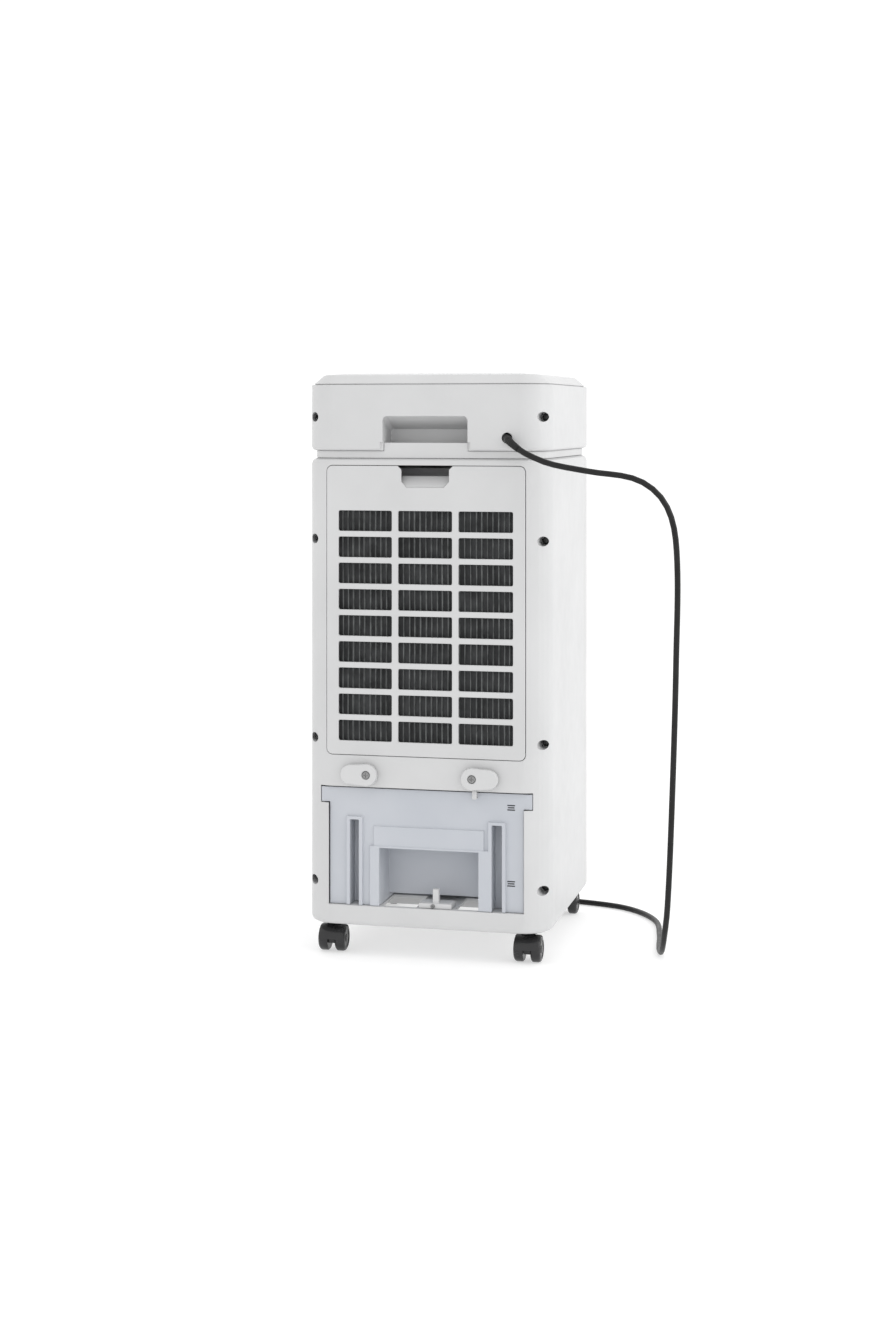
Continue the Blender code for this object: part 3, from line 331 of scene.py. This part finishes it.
def arc(radius, start, end, steps):
    """Points on an arc about the origin, between two angles in degrees."""
    angles = [radians(start + (end - start) * step / steps) for step in range(steps + 1)]
    return [(radius * cos(angle), radius * sin(angle)) for angle in angles]


# Cord

CORD_RADIUS = 0.0032
CORD_EXIT = Vector((-0.0902, 0.1410, 0.5645))
RELIEF_MIDDLE = Vector((-0.0963, 0.1508, 0.5596))
RELIEF_END = Vector((-0.1060, 0.1570, 0.5527))
CORD_ROUTE = (
    (-0.1199, 0.1630, 0.5457),
    (-0.1429, 0.1690, 0.5375),
    (-0.1843, 0.1730, 0.5300),
    (-0.2366, 0.1735, 0.5210),
    (-0.2640, 0.1690, 0.4960),
    (-0.2740, 0.1600, 0.4500),
    (-0.2720, 0.1470, 0.3300),
    (-0.2660, 0.1330, 0.1800),
    (-0.2590, 0.1160, 0.0660),
    (-0.2520, 0.0950, 0.0240),
    (-0.2460, 0.0680, 0.0065),
    (-0.2400, 0.0380, 0.0036),
    (-0.2330, -0.0200, 0.0035),
    (-0.2180, -0.0900, 0.0035),
    (-0.1800, -0.1400, 0.0035),
    (-0.1260, -0.1610, 0.0035),
    (-0.0708, -0.1658, 0.0035),
)
TAIL_ROUTE = (
    (-0.0340, -0.1658, 0.0104),
    (-0.0280, -0.1659, 0.0092),
    (-0.0215, -0.1660, 0.0072),
    (-0.0140, -0.1662, 0.0052),
    (-0.0040, -0.1664, 0.0046),
    (0.0100, -0.1684, 0.0092),
    (0.0200, -0.1705, 0.0135),
    (0.0292, -0.1705, 0.0135),
)
COIL_CENTRE = Vector((-0.046, -0.205, 0.0))
COIL_START_RADIUS = 0.0392
COIL_PITCH = 0.0065
COIL_LAYERS = (0.0040, 0.0105)
COIL_STEPS = 24
CLIMB_TURNS = 1 / 6


def smooth_route(route, spacing):
    """Points evenly spaced on a smooth curve that passes through a route's own points."""
    route = [Vector(point) for point in route]
    dense = []
    for index in range(len(route) - 1):
        here, there = route[index], route[index + 1]
        before = route[index - 1] if index else here
        after = route[index + 2] if index + 2 < len(route) else there
        reach = (there - here).length / 3
        leave = (there - before).normalized() * reach
        arrive = (after - here).normalized() * reach
        dense += interpolate_bezier(here, here + leave, there - arrive, there, 24)[:-1]
    dense.append(route[-1])
    lengths = [0.0]
    for index in range(1, len(dense)):
        lengths.append(lengths[-1] + (dense[index] - dense[index - 1]).length)
    count = max(2, round(lengths[-1] / spacing))
    points = []
    index = 0
    for step in range(count + 1):
        target = lengths[-1] * step / count
        while index < len(dense) - 2 and lengths[index + 1] < target:
            index += 1
        share = (target - lengths[index]) / (lengths[index + 1] - lengths[index])
        points.append(dense[index].lerp(dense[index + 1], share))
    return points


def coil_points():
    """Two turns inwards on the floor, a climb, and two turns outwards on top of them."""
    start, low, high = COIL_START_RADIUS, *COIL_LAYERS
    inner = start - 2 * COIL_PITCH
    points = []
    total = 4 * COIL_STEPS
    for step in range(1, total):
        turn = step / COIL_STEPS
        climb = min(max((turn - 2) / CLIMB_TURNS, 0.0), 1.0)
        level = low + (high - low) * climb * climb * (3 - 2 * climb)
        if turn < 2:
            radius = start - COIL_PITCH * turn
        elif climb < 1:
            radius = inner
        else:
            radius = inner + (start - inner) * (turn - 2 - CLIMB_TURNS) / (2 - CLIMB_TURNS)
        angle = pi / 2 - 2 * pi * turn
        points.append(COIL_CENTRE + Vector((radius * cos(angle), radius * sin(angle), level)))
    return points


def cord_points():
    coil_start = COIL_CENTRE + Vector((0.0, COIL_START_RADIUS, COIL_LAYERS[0]))
    coil_end = COIL_CENTRE + Vector((0.0, COIL_START_RADIUS, COIL_LAYERS[1]))
    points = smooth_route([CORD_EXIT, RELIEF_MIDDLE, RELIEF_END, *CORD_ROUTE, coil_start], 0.012)
    points += coil_points()
    points += smooth_route([coil_end, *TAIL_ROUTE], 0.008)
    return points


def power_cord():
    """The whole cord in one curve, from its hole in the head to the plug."""
    points = cord_points()
    curve = bpy.data.curves.new("mains_cord", "CURVE")
    curve.dimensions = "3D"
    curve.bevel_depth = CORD_RADIUS
    curve.bevel_resolution = 5
    curve.use_fill_caps = True
    spline = curve.splines.new("POLY")
    spline.points.add(len(points) - 1)
    for place, point in zip(spline.points, points):
        place.co = (*point, 1.0)
    spline.use_smooth = True
    curve.materials.append(finish_of(cord_rubber))
    made = bpy.data.objects.new("mains_cord", curve)
    bpy.context.scene.collection.objects.link(made)
    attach(made, "body")
    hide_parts("power_cord", "cord_coil", "cord_tail")
    cord_relief()
    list(mains_plug())
    cord_tie()


# What is on the cord


def cord_relief():
    """A tapered sleeve with flex grooves, from inside the head's hole to the relief's end."""
    route = smooth_route([CORD_EXIT - Vector((-0.0012, 0.0035, -0.0005)), RELIEF_MIDDLE, RELIEF_END], 0.0008)
    loops = []
    sides = 20
    for index, point in enumerate(route):
        share = index / (len(route) - 1)
        grooved = share > 0.35 and index % 3 == 0
        radius = 0.0046 - 0.0009 * share - (0.0004 if grooved else 0.0)
        before, after = route[max(index - 1, 0)], route[min(index + 1, len(route) - 1)]
        first, second = across((after - before).normalized())
        angles = [2 * pi * side / sides for side in range(sides)]
        loops.append([point + radius * (cos(a) * first + sin(a) * second) for a in angles])
    made = mesh_piece("cord_sleeve", loft(bmesh.new(), loops), finish_of(cord_rubber), "body", 60.0)
    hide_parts("cord_relief")
    return made


def mains_plug():
    """A two-pin plug: a waisted body with grip ribs, a face plate and two round-ended pins."""
    low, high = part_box("mains_plug")
    middle_y, middle_z = (low.y + high.y) / 2, (low.z + high.z) / 2
    stations = (
        (0.000, 0.0052, 0.0052),
        (0.006, 0.0066, 0.0068),
        (0.012, 0.0080, 0.0092),
        (0.020, 0.0125, 0.0118),
        (0.028, 0.0165, 0.0128),
        (0.034, 0.0172, 0.0128),
        (0.038, 0.0168, 0.0124),
    )
    form = bmesh.new()
    loops = []
    for along, half_y, half_z in stations:
        loop = []
        for step in range(32):
            angle = 2 * pi * step / 32
            y = half_y * abs(cos(angle)) ** 0.55 * (1 if cos(angle) > 0 else -1)
            z = half_z * abs(sin(angle)) ** 0.55 * (1 if sin(angle) > 0 else -1)
            loop.append((low.x + along, middle_y + y, middle_z + z))
        loops.append(loop)
    loft(form, loops)
    body = mesh_piece("plug_body", form, finish_of(black_plastic), "body", 40.0)
    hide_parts("mains_plug")
    pins = bmesh.new()
    for side in (-1, 1):
        centre = (low.x + 0.0375, middle_y + side * 0.0095, middle_z)
        reach = high.x - centre[0]
        profile = [(0.0023, 0.0), (0.0023, reach - 0.0020), (0.0018, reach - 0.0006), (0.0008, reach)]
        turned(pins, profile, centre, (1, 0, 0), 20)
    pins = mesh_piece("plug_pins", pins, finish_of(steel), "body")
    ribs = bmesh.new()
    for index in range(4):
        x = low.x + 0.0215 + 0.0028 * index
        half_y = 0.0090
        for side in (-1, 1):
            level = middle_z + side * (0.0106 + 0.0006 * index)
            end = middle_z + side * (0.0122 + 0.0002 * index)
            bottom, top = min(level, end), max(level, end)
            box_form(ribs, (x, middle_y - half_y, bottom), (x + 0.0012, middle_y + half_y, top))
    ribs = mesh_piece("plug_grip_ribs", ribs, finish_of(black_plastic), "body")
    return [body, pins, ribs]


def cord_tie():
    """The band that holds the coil's turns together."""
    half_width = 0.0045
    middle = COIL_START_RADIUS - COIL_PITCH
    reach = COIL_PITCH + CORD_RADIUS + 0.0003
    low, high = 0.0002, COIL_LAYERS[1] + CORD_RADIUS + 0.0002
    form = bmesh.new()
    outer, thick = 0.0035, 0.0005
    loops = []
    for x in (-half_width, half_width):
        for inset in (0.0, thick):
            loop = []
            corners = ((1, 1, 0), (-1, 1, 90), (-1, -1, 180), (1, -1, 270))
            for side_y, side_z, start in corners:
                centre_y = side_y * (reach - outer)
                centre_z = (low + high) / 2 + side_z * ((high - low) / 2 - outer)
                for step_y, step_z in arc(outer - inset, start, start + 90, 5):
                    loop.append((x, middle + centre_y + step_y, centre_z + step_z))
            loops.append(loop)
    order = [loops[0], loops[2], loops[3], loops[1]]
    rows = [[form.verts.new(point) for point in loop] for loop in order]
    rows.append(rows[0])
    for here, there in zip(rows, rows[1:]):
        for index in range(len(here)):
            after = (index + 1) % len(here)
            form.faces.new((here[index], here[after], there[after], there[index]))
    bmesh.ops.rotate(form, verts=form.verts, cent=(0, 0, 0), matrix=Matrix.Rotation(-pi / 2, 3, "Z"))
    bmesh.ops.translate(form, verts=form.verts, vec=COIL_CENTRE)
    made = mesh_piece("cord_tie", form, finish_of(black_plastic), "body")
    return made


# Filter and cooling pad

CELL_WIDTH, CELL_PITCH_X = 0.0598, 0.0669
CELL_HEIGHT, CELL_PITCH_Z = 0.0223, 0.0285
GRILLE_BOTTOM = 0.235
CELL_FILLET = 0.0018
PLEAT_PITCH = 0.0062
PLEAT_FLARE = 0.0004
PAD_SHEETS = 29
PAD_INSET = 0.0005


def filter_pleats():
    """The dust filter: cloth folded into narrow standing pleats, in a thin frame."""
    low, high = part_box("dust_filter")
    base, crest = low.y + 0.0010, high.y - 0.0001
    rng = Random(5)
    count = int((high.x - low.x - 0.006) / PLEAT_PITCH)
    start = (low.x + high.x) / 2 - count * PLEAT_PITCH / 2
    profile = [(low.x + 0.0005, base)]
    ridges = set()
    for index in range(count + 1):
        x = start + index * PLEAT_PITCH + rng.uniform(-0.0004, 0.0004)
        half = 0.00035 + rng.uniform(0.0, 0.00025)
        lean = rng.uniform(-0.0003, 0.0003)
        first = len(profile)
        ridges.update((first, first + 1, first + 2))
        profile += [(x - half - PLEAT_FLARE, base), (x - half + lean, crest)]
        profile += [(x + half + lean, crest), (x + half + PLEAT_FLARE, base)]
    profile.append((high.x - 0.0005, base))
    form = bmesh.new()
    steps = 24
    rows = []
    for step in range(steps + 1):
        z = low.z + 0.0006 + (high.z - low.z - 0.0012) * step / steps
        sway = 0.00025 * sin(9 * step / steps)
        rows.append([form.verts.new((x + sway, y, z)) for x, y in profile])
    for row, above in zip(rows, rows[1:]):
        for index in range(len(profile) - 1):
            face = form.faces.new((row[index], row[index + 1], above[index + 1], above[index]))
            # The standing folds take the lighter cloth, a painted highlight; the flat cloth between them
            # stays darker.
            face.material_index = 1 if index in ridges else 0
    back = []
    for row in (rows[0], rows[-1]):
        ends = (row[0].co, row[-1].co)
        back.append([form.verts.new((end.x, low.y + 0.0004, end.z)) for end in ends])
    form.faces.new((back[0][0], back[0][1], back[1][1], back[1][0]))
    form.faces.new([back[0][0], *rows[0], back[0][1]])
    form.faces.new([back[1][1], *reversed(rows[-1]), back[1][0]])
    form.faces.new([back[0][0], back[1][0], *[row[0] for row in reversed(rows)]])
    form.faces.new([back[0][1], *[row[-1] for row in rows], back[1][1]])
    made = mesh_piece("filter_pleats", form, finish_of(filter_mesh), "filter_door", 30.0)
    made.data.materials.append(finish_of(filter_ridge_highlight))
    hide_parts("dust_filter")


def grille_corners():
    """Fillets in the four corners of each of the grille's cells."""
    form = bmesh.new()
    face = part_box("rear_shell")[1].y
    for column in range(3):
        middle_x = (column - 1) * CELL_PITCH_X
        for row in range(9):
            middle_z = GRILLE_BOTTOM + row * CELL_PITCH_Z + CELL_HEIGHT / 2
            for side, up in ((-1, -1), (1, -1), (1, 1), (-1, 1)):
                corner_x, corner_z = side * CELL_WIDTH / 2, up * CELL_HEIGHT / 2
                outline = [(corner_x + side * 0.0003, corner_z + up * 0.0003)]
                outline.append((corner_x - side * CELL_FILLET, corner_z + up * 0.0003))
                for along, rise in arc(CELL_FILLET, 90, 0, 5):
                    x = corner_x - side * (CELL_FILLET - along)
                    outline.append((x, corner_z - up * (CELL_FILLET - rise)))
                outline.append((corner_x + side * 0.0003, corner_z - up * CELL_FILLET))
                depths = (face - 0.0027, face - 0.0004)
                loft(form, [[(middle_x + x, y, middle_z + z) for x, z in outline] for y in depths])
    made = mesh_piece("grille_corners", form, finish_of(white_plastic), "filter_door", 50.0)


def cooling_pad():
    """Corrugated paper sheets side by side, each bent the other way from the last."""
    low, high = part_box("cooling_pad")
    form = bmesh.new()
    pitch = (high.x - low.x - 0.006) / (PAD_SHEETS - 1)
    wave, thick = 0.0235, 0.0005
    steps = 66
    for sheet in range(PAD_SHEETS):
        middle = low.x + 0.003 + sheet * pitch
        side = 1 if sheet % 2 else -1
        loops = []
        for step in range(steps + 1):
            z = low.z + 0.0005 + (high.z - low.z - 0.001) * step / steps
            x = middle + side * (pitch * 0.46) * sin(2 * pi * (z - low.z) / wave)
            x = min(max(x, low.x + 0.0004), high.x - 0.0004 - thick)
            corners = rectangle((x, low.y + PAD_INSET), (x + thick, high.y - PAD_INSET))
            loops.append([(*corner, z) for corner in corners])
        loft(form, loops)
    made = mesh_piece("corrugated_pad", form, finish_of(cellulose), "body", 40.0)
    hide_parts("cooling_pad")


# Screws, casters and small parts

SCREW_X = 0.127
SCREW_LEVELS = (0.0797, 0.2358, 0.4536, 0.587)
SCREW_SEAT = 0.108
SCREW_RADIUS, SCREW_RISE = 0.0040, 0.0022
CROSS_DEPTH = 0.0015
MARK_X, MARK_HALF_HEIGHT = -0.0940, 0.0006
AXLE_TRAIL, WHEEL_RADIUS = 0.008, 0.014


def cross_cutter(centre, size):
    """A mesh object with the shape of a cross-head driver's tip."""
    form = bmesh.new()
    width = size * 0.22
    for long_x, long_z in ((size, width), (width, size)):
        low = (centre[0] - long_x, centre[2] - long_z)
        high = (centre[0] + long_x, centre[2] + long_z)
        depths = (centre[1] - CROSS_DEPTH, centre[1] + 0.0020)
        loft(form, [[(x, y, z) for x, z in rectangle(low, high)] for y in depths])
    bmesh.ops.recalc_face_normals(form, faces=form.faces)
    mesh = bpy.data.meshes.new("cutter")
    form.to_mesh(mesh)
    form.free()
    made = bpy.data.objects.new("cutter", mesh)
    bpy.context.scene.collection.objects.link(made)
    return made


def screw_head(name, centre, radius, height, body, metal=steel):
    """A pan-head screw that looks to +Y, with a cross recess."""
    form = bmesh.new()
    profile = [(radius * 0.6, -0.0010), (radius, -0.0010), (radius, height * 0.45)]
    dome = ((0.94, 0.72), (0.78, 0.90), (0.5, 0.98), (0.2, 1.0))
    profile += [(radius * share, height * rise) for share, rise in dome]
    turned(form, profile, centre, (0, 1, 0), 28)
    made = mesh_piece(name, form, finish_of(metal), body, 40.0)
    cutter = cross_cutter((centre[0], centre[1] + height, centre[2]), radius * 0.55)
    modifier = made.modifiers.new("cross", "BOOLEAN")
    modifier.operation = "DIFFERENCE"
    modifier.solver = "EXACT"
    modifier.use_self = True
    modifier.object = cutter
    bpy.context.view_layer.update()
    evaluated = made.evaluated_get(bpy.context.evaluated_depsgraph_get())
    mesh = bpy.data.meshes.new_from_object(evaluated)
    made.modifiers.clear()
    made.data = mesh
    bpy.data.objects.remove(cutter)
    return made


def housing_screws():
    for side, word in ((1, "left"), (-1, "right")):
        for index, level in enumerate(SCREW_LEVELS, 1):
            name = f"housing_screw_{word}_{index}"
            centre = (side * SCREW_X, SCREW_SEAT + 0.0011, level)
            # The housing screws take the darkened steel: painted shade for their deep holes.
            screw_head(name, centre, SCREW_RADIUS, SCREW_RISE, "body", shade_darkened_steel)


def button_signs():
    """A plain printed bar on each button, each a little longer than the last."""
    for index in range(1, 6):
        button = f"button_{index}"
        low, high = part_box(button)
        middle = (low + high) / 2
        reach = 0.0009 + 0.0004 * index
        start = (middle.x - reach, middle.y - 0.0003, high.z - 0.0002)
        end = (middle.x + reach, middle.y + 0.0003, high.z - 0.00001)
        form = box_form(bmesh.new(), start, end)
        made = mesh_piece(f"button_sign_{index}", form, finish_of(tank_mark), button)


def latch_screws():
    """The screws that the latches turn on and the one that holds the tank's stop."""
    for node in ("latch_screw_left", "latch_screw_right", "tank_stop_screw"):
        low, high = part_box(node)
        middle = (low + high) / 2
        radius = (high.x - low.x) / 2
        rise = 0.45 * radius
        centre = (middle.x, high.y - rise, middle.z)
        made = screw_head(f"{node}_head", centre, radius, rise, BODY_OF[node])
        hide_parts(node)


def level_marks():
    """Plain bars moulded on the tank's rear face for its high and low water levels."""
    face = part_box("water_tank")[1].y - 0.0030
    for name, level in (("high", 0.1686), ("low", 0.0872)):
        form = bmesh.new()
        for width, rise in ((0.0042, 0.0024), (0.0036, 0.0), (0.0042, -0.0024)):
            start = (MARK_X - width, face - 0.0003, level + rise - MARK_HALF_HEIGHT)
            end = (MARK_X + width, face + 0.0002, level + rise + MARK_HALF_HEIGHT)
            box_form(form, start, end)
        made = mesh_piece(f"level_mark_{name}", form, finish_of(tank_mark), "tank")


def caster(corner):
    """A twin-wheel caster: a hood over both wheels, its stem plate, and the wheels with hub caps."""
    low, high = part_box(f"caster_wheels_{corner}")
    axle = (low + high) / 2
    fork_low, fork_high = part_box(f"caster_fork_{corner}")
    stem_x, trail = axle.x, AXLE_TRAIL if axle.y > 0 else -AXLE_TRAIL
    stem_y = axle.y - trail
    out = 1 if trail > 0 else -1
    fork_body, wheel_body = f"caster_fork_{corner}", f"caster_wheels_{corner}"
    hood = bmesh.new()
    outer, inner, half = WHEEL_RADIUS + 0.0014, WHEEL_RADIUS + 0.0004, 0.0138
    section = arc(outer, 4, 178, 18) + arc(inner, 178, 4, 18)
    stations = [(-half, 0.0012), (-half + 0.0012, 0.0003), (-0.004, 0.0)]
    stations += [(0.004, 0.0), (half - 0.0012, 0.0003), (half, 0.0012)]
    loops = []
    for x, shrink in stations:
        loop = []
        for index, (along, up) in enumerate(section):
            scale = 1 - shrink / outer if index <= 18 else 1.0
            loop.append((stem_x + x, axle.y + out * along * scale, WHEEL_RADIUS + up * scale))
        loops.append(loop)
    loft(hood, loops)
    hood_piece = mesh_piece(f"caster_hood_{corner}", hood, finish_of(black_plastic), fork_body, 40.0)
    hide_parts(f"caster_fork_{corner}")
    frame_form = bmesh.new()
    web = arc(0.0092, -30, 210, 20)
    sides = (-0.0038, 0.0038)
    loft(frame_form, [[(stem_x + x, axle.y + out * a, WHEEL_RADIUS + b) for a, b in web] for x in sides])
    top = fork_high.z
    plate = 0.0334
    collar = [(0.0060, 0.0), (0.0090, 0.0012), (0.0105, 0.0040), (0.0105, 0.0052)]
    turned(frame_form, collar, (stem_x, stem_y, plate - 0.0052), (0, 0, 1), 28)
    stem = [(0.0038, 0.0), (0.0038, top - plate - 0.0006), (0.0032, top - plate)]
    turned(frame_form, stem, (stem_x, stem_y, plate), (0, 0, 1), 20)
    web_piece = mesh_piece(f"caster_web_{corner}", frame_form, finish_of(black_plastic), fork_body, 40.0)
    wheels = bmesh.new()
    for side in (-1, 1):
        profile = [(0.0030, 0.0042), (WHEEL_RADIUS - 0.0014, 0.0042)]
        profile += [(WHEEL_RADIUS, 0.0056), (WHEEL_RADIUS, 0.0118), (WHEEL_RADIUS - 0.0008, 0.0136)]
        profile += [(WHEEL_RADIUS - 0.0022, 0.0146), (WHEEL_RADIUS - 0.0038, 0.0150)]
        profile += [(WHEEL_RADIUS - 0.0046, 0.0142), (0.0046, 0.0142), (0.0040, 0.0148), (0.0020, 0.0150)]
        turned(wheels, profile, axle, (side, 0, 0), 36)
    turned(wheels, [(0.0018, -0.0050), (0.0018, 0.0050)], axle, (1, 0, 0), 16)
    wheels_piece = mesh_piece(f"caster_tyres_{corner}", wheels, finish_of(black_plastic), wheel_body, 40.0)
    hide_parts(f"caster_wheels_{corner}")


# Stage


def floor():
    mesh = bpy.data.meshes.new("floor")
    reach = 8.0
    corners = [(x, y, 0) for x, y in rectangle((-reach, -reach), (reach, reach))]
    mesh.from_pydata(corners, [], [(0, 1, 2, 3)])
    made = bpy.data.objects.new("floor", mesh)
    bpy.context.scene.collection.objects.link(made)
    nodes_ = Nodes("floor")
    nodes_.colour(nodes_.grey_ramp(nodes_.noise(3.0), 0.50, 0.52))
    nodes_.shader.inputs["Roughness"].default_value = 0.9
    nodes_.shader.inputs["Emission Color"].default_value = (1.0, 1.0, 1.0, 1.0)
    nodes_.shader.inputs["Emission Strength"].default_value = 0.52
    mesh.materials.append(nodes_.material)


def area_light(name, place, target, size, power):
    data = bpy.data.lights.new(name, "AREA")
    data.shape = "SQUARE"
    data.size = size
    data.energy = power
    made = bpy.data.objects.new(name, data)
    made.location = place
    aim = Vector(target) - Vector(place)
    made.rotation_euler = aim.to_track_quat("-Z", "Y").to_euler()
    bpy.context.scene.collection.objects.link(made)


def studio():
    floor()
    world = bpy.data.worlds.new("studio")
    world.use_nodes = True
    background = world.node_tree.nodes["Background"]
    background.inputs["Color"].default_value = (1.0, 1.0, 1.0, 1.0)
    background.inputs["Strength"].default_value = 1.12
    bpy.context.scene.world = world
    bpy.context.scene.view_settings.view_transform = "Standard"
    middle = (0.0, 0.0, 0.3)
    area_light("key", (-2.6, 0.3, 1.5), middle, 1.6, 20.0)
    area_light("front_fill", (0.9, -2.6, 1.6), middle, 2.0, 6.0)


# Casing, tank and mechanism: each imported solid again, with its edges moulded round

EDGE = 0.0005
EDGES = {
    "rear_shell": 0.0006,
    "head_shell": 0.0008,
    "filter_cover": 0.0006,
    "latch_left": 0.0013,
    "latch_right": 0.0013,
    "water_tank": 0.0006,
    "fan_wheel": 0.0003,
    "latch_screw_left": 0.0003,
    "latch_screw_right": 0.0003,
    "tank_stop_screw": 0.0003,
    "control_board": 0.0001,
    "display_window": 0.0001,
    "caster_wheels": 0.0003,
    "swing_vane": 0.0002,
    "louvre": 0.0002,
}
SHARP = radians(28)


def edge_width(node):
    """How far a node's edges are rounded, by its name or its family's name."""
    for name, width in EDGES.items():
        if node.startswith(name):
            return width
    return EDGE


def welded(node):
    """A node's mesh with its triangles joined up and its flat faces made whole."""
    form = bmesh.new()
    form.from_mesh(nodes[node].data)
    bmesh.ops.remove_doubles(form, verts=form.verts, dist=0.000002)
    bmesh.ops.dissolve_limit(form, angle_limit=radians(1), verts=form.verts, edges=form.edges)
    return form


def round_edges(form, edges, width, segments=2):
    bmesh.ops.bevel(
        form,
        geom=edges,
        offset=width,
        offset_type="OFFSET",
        segments=segments,
        profile=0.5,
        affect="EDGES",
        clamp_overlap=False,
    )


def sharp_edges(form):
    return [edge for edge in form.edges if edge.is_manifold and edge.calc_face_angle(0.0) > SHARP]


def moulded_piece(node, body, material, reshape=None):
    """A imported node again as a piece, after an optional change to its mesh and with round edges."""
    form = welded(node)
    if reshape:
        reshape(form)
    round_edges(form, sharp_edges(form), edge_width(node))
    made = mesh_piece(node + "_moulded", form, material, body, smooth=50.0)
    weighted = made.modifiers.new("weighted_normals", "WEIGHTED_NORMAL")
    weighted.keep_sharp = True
    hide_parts(node)
    return made


def fillet(form, chosen, radius, segments=4):
    """Round the chosen edges of a mesh. chosen(middle, along) says whether an edge is one of them."""
    edges = []
    for edge in form.edges:
        start, end = (vertex.co for vertex in edge.verts)
        if edge.is_manifold and edge.calc_face_angle(0.0) > SHARP:
            if chosen((start + end) / 2, (end - start).normalized()):
                edges.append(edge)
    round_edges(form, edges, radius, segments)


def soften_recess(form):
    """The hand recess's upper corners, which run in from the rear face along its sloping roof."""

    def runs_inward(at, along):
        return abs(at.x) < 0.049 and at.z > 0.574 and at.y > 0.1 and abs(along.x) < 0.1

    fillet(form, runs_inward, 0.0045)


RESHAPES = {"head_shell": soften_recess}

FINISHES = {
    "white_plastic": white_plastic,
    "grey_plastic": grey_plastic,
    "black_plastic": black_plastic,
    "tank_plastic": tank_plastic,
    "steel": steel,
    "clear_hose": clear_hose,
    "smoked_window": smoked_window,
    "circuit_board": circuit_board,
    "cord_rubber": cord_rubber,
}
BODY_OF = {node: body for body, names in frame["record"]["behaviour"]["bodies"].items() for node in names}
CORNERS = ("rear_left", "rear_right", "front_left", "front_right")
BUILT_ELSEWHERE = {"power_cord", "cord_coil", "cord_tail", "cord_relief", "mains_plug"}
BUILT_ELSEWHERE |= {"dust_filter", "cooling_pad", "latch_screw_left", "latch_screw_right", "tank_stop_screw"}
BUILT_ELSEWHERE |= {f"caster_fork_{corner}" for corner in CORNERS}
BUILT_ELSEWHERE |= {f"caster_wheels_{corner}" for corner in CORNERS}


def moulded_pieces():
    for entry in frame["record"]["subparts"]:
        node, slot = entry["node"], entry["material_slot"]
        if node not in BUILT_ELSEWHERE:
            made = moulded_piece(node, BODY_OF[node], finish_of(FINISHES[slot]), RESHAPES.get(node))


camera()
power_cord()
moulded_pieces()
filter_pleats()
grille_corners()
cooling_pad()
housing_screws()
latch_screws()
button_signs()
level_marks()
for corner in CORNERS:
    caster(corner)
studio()
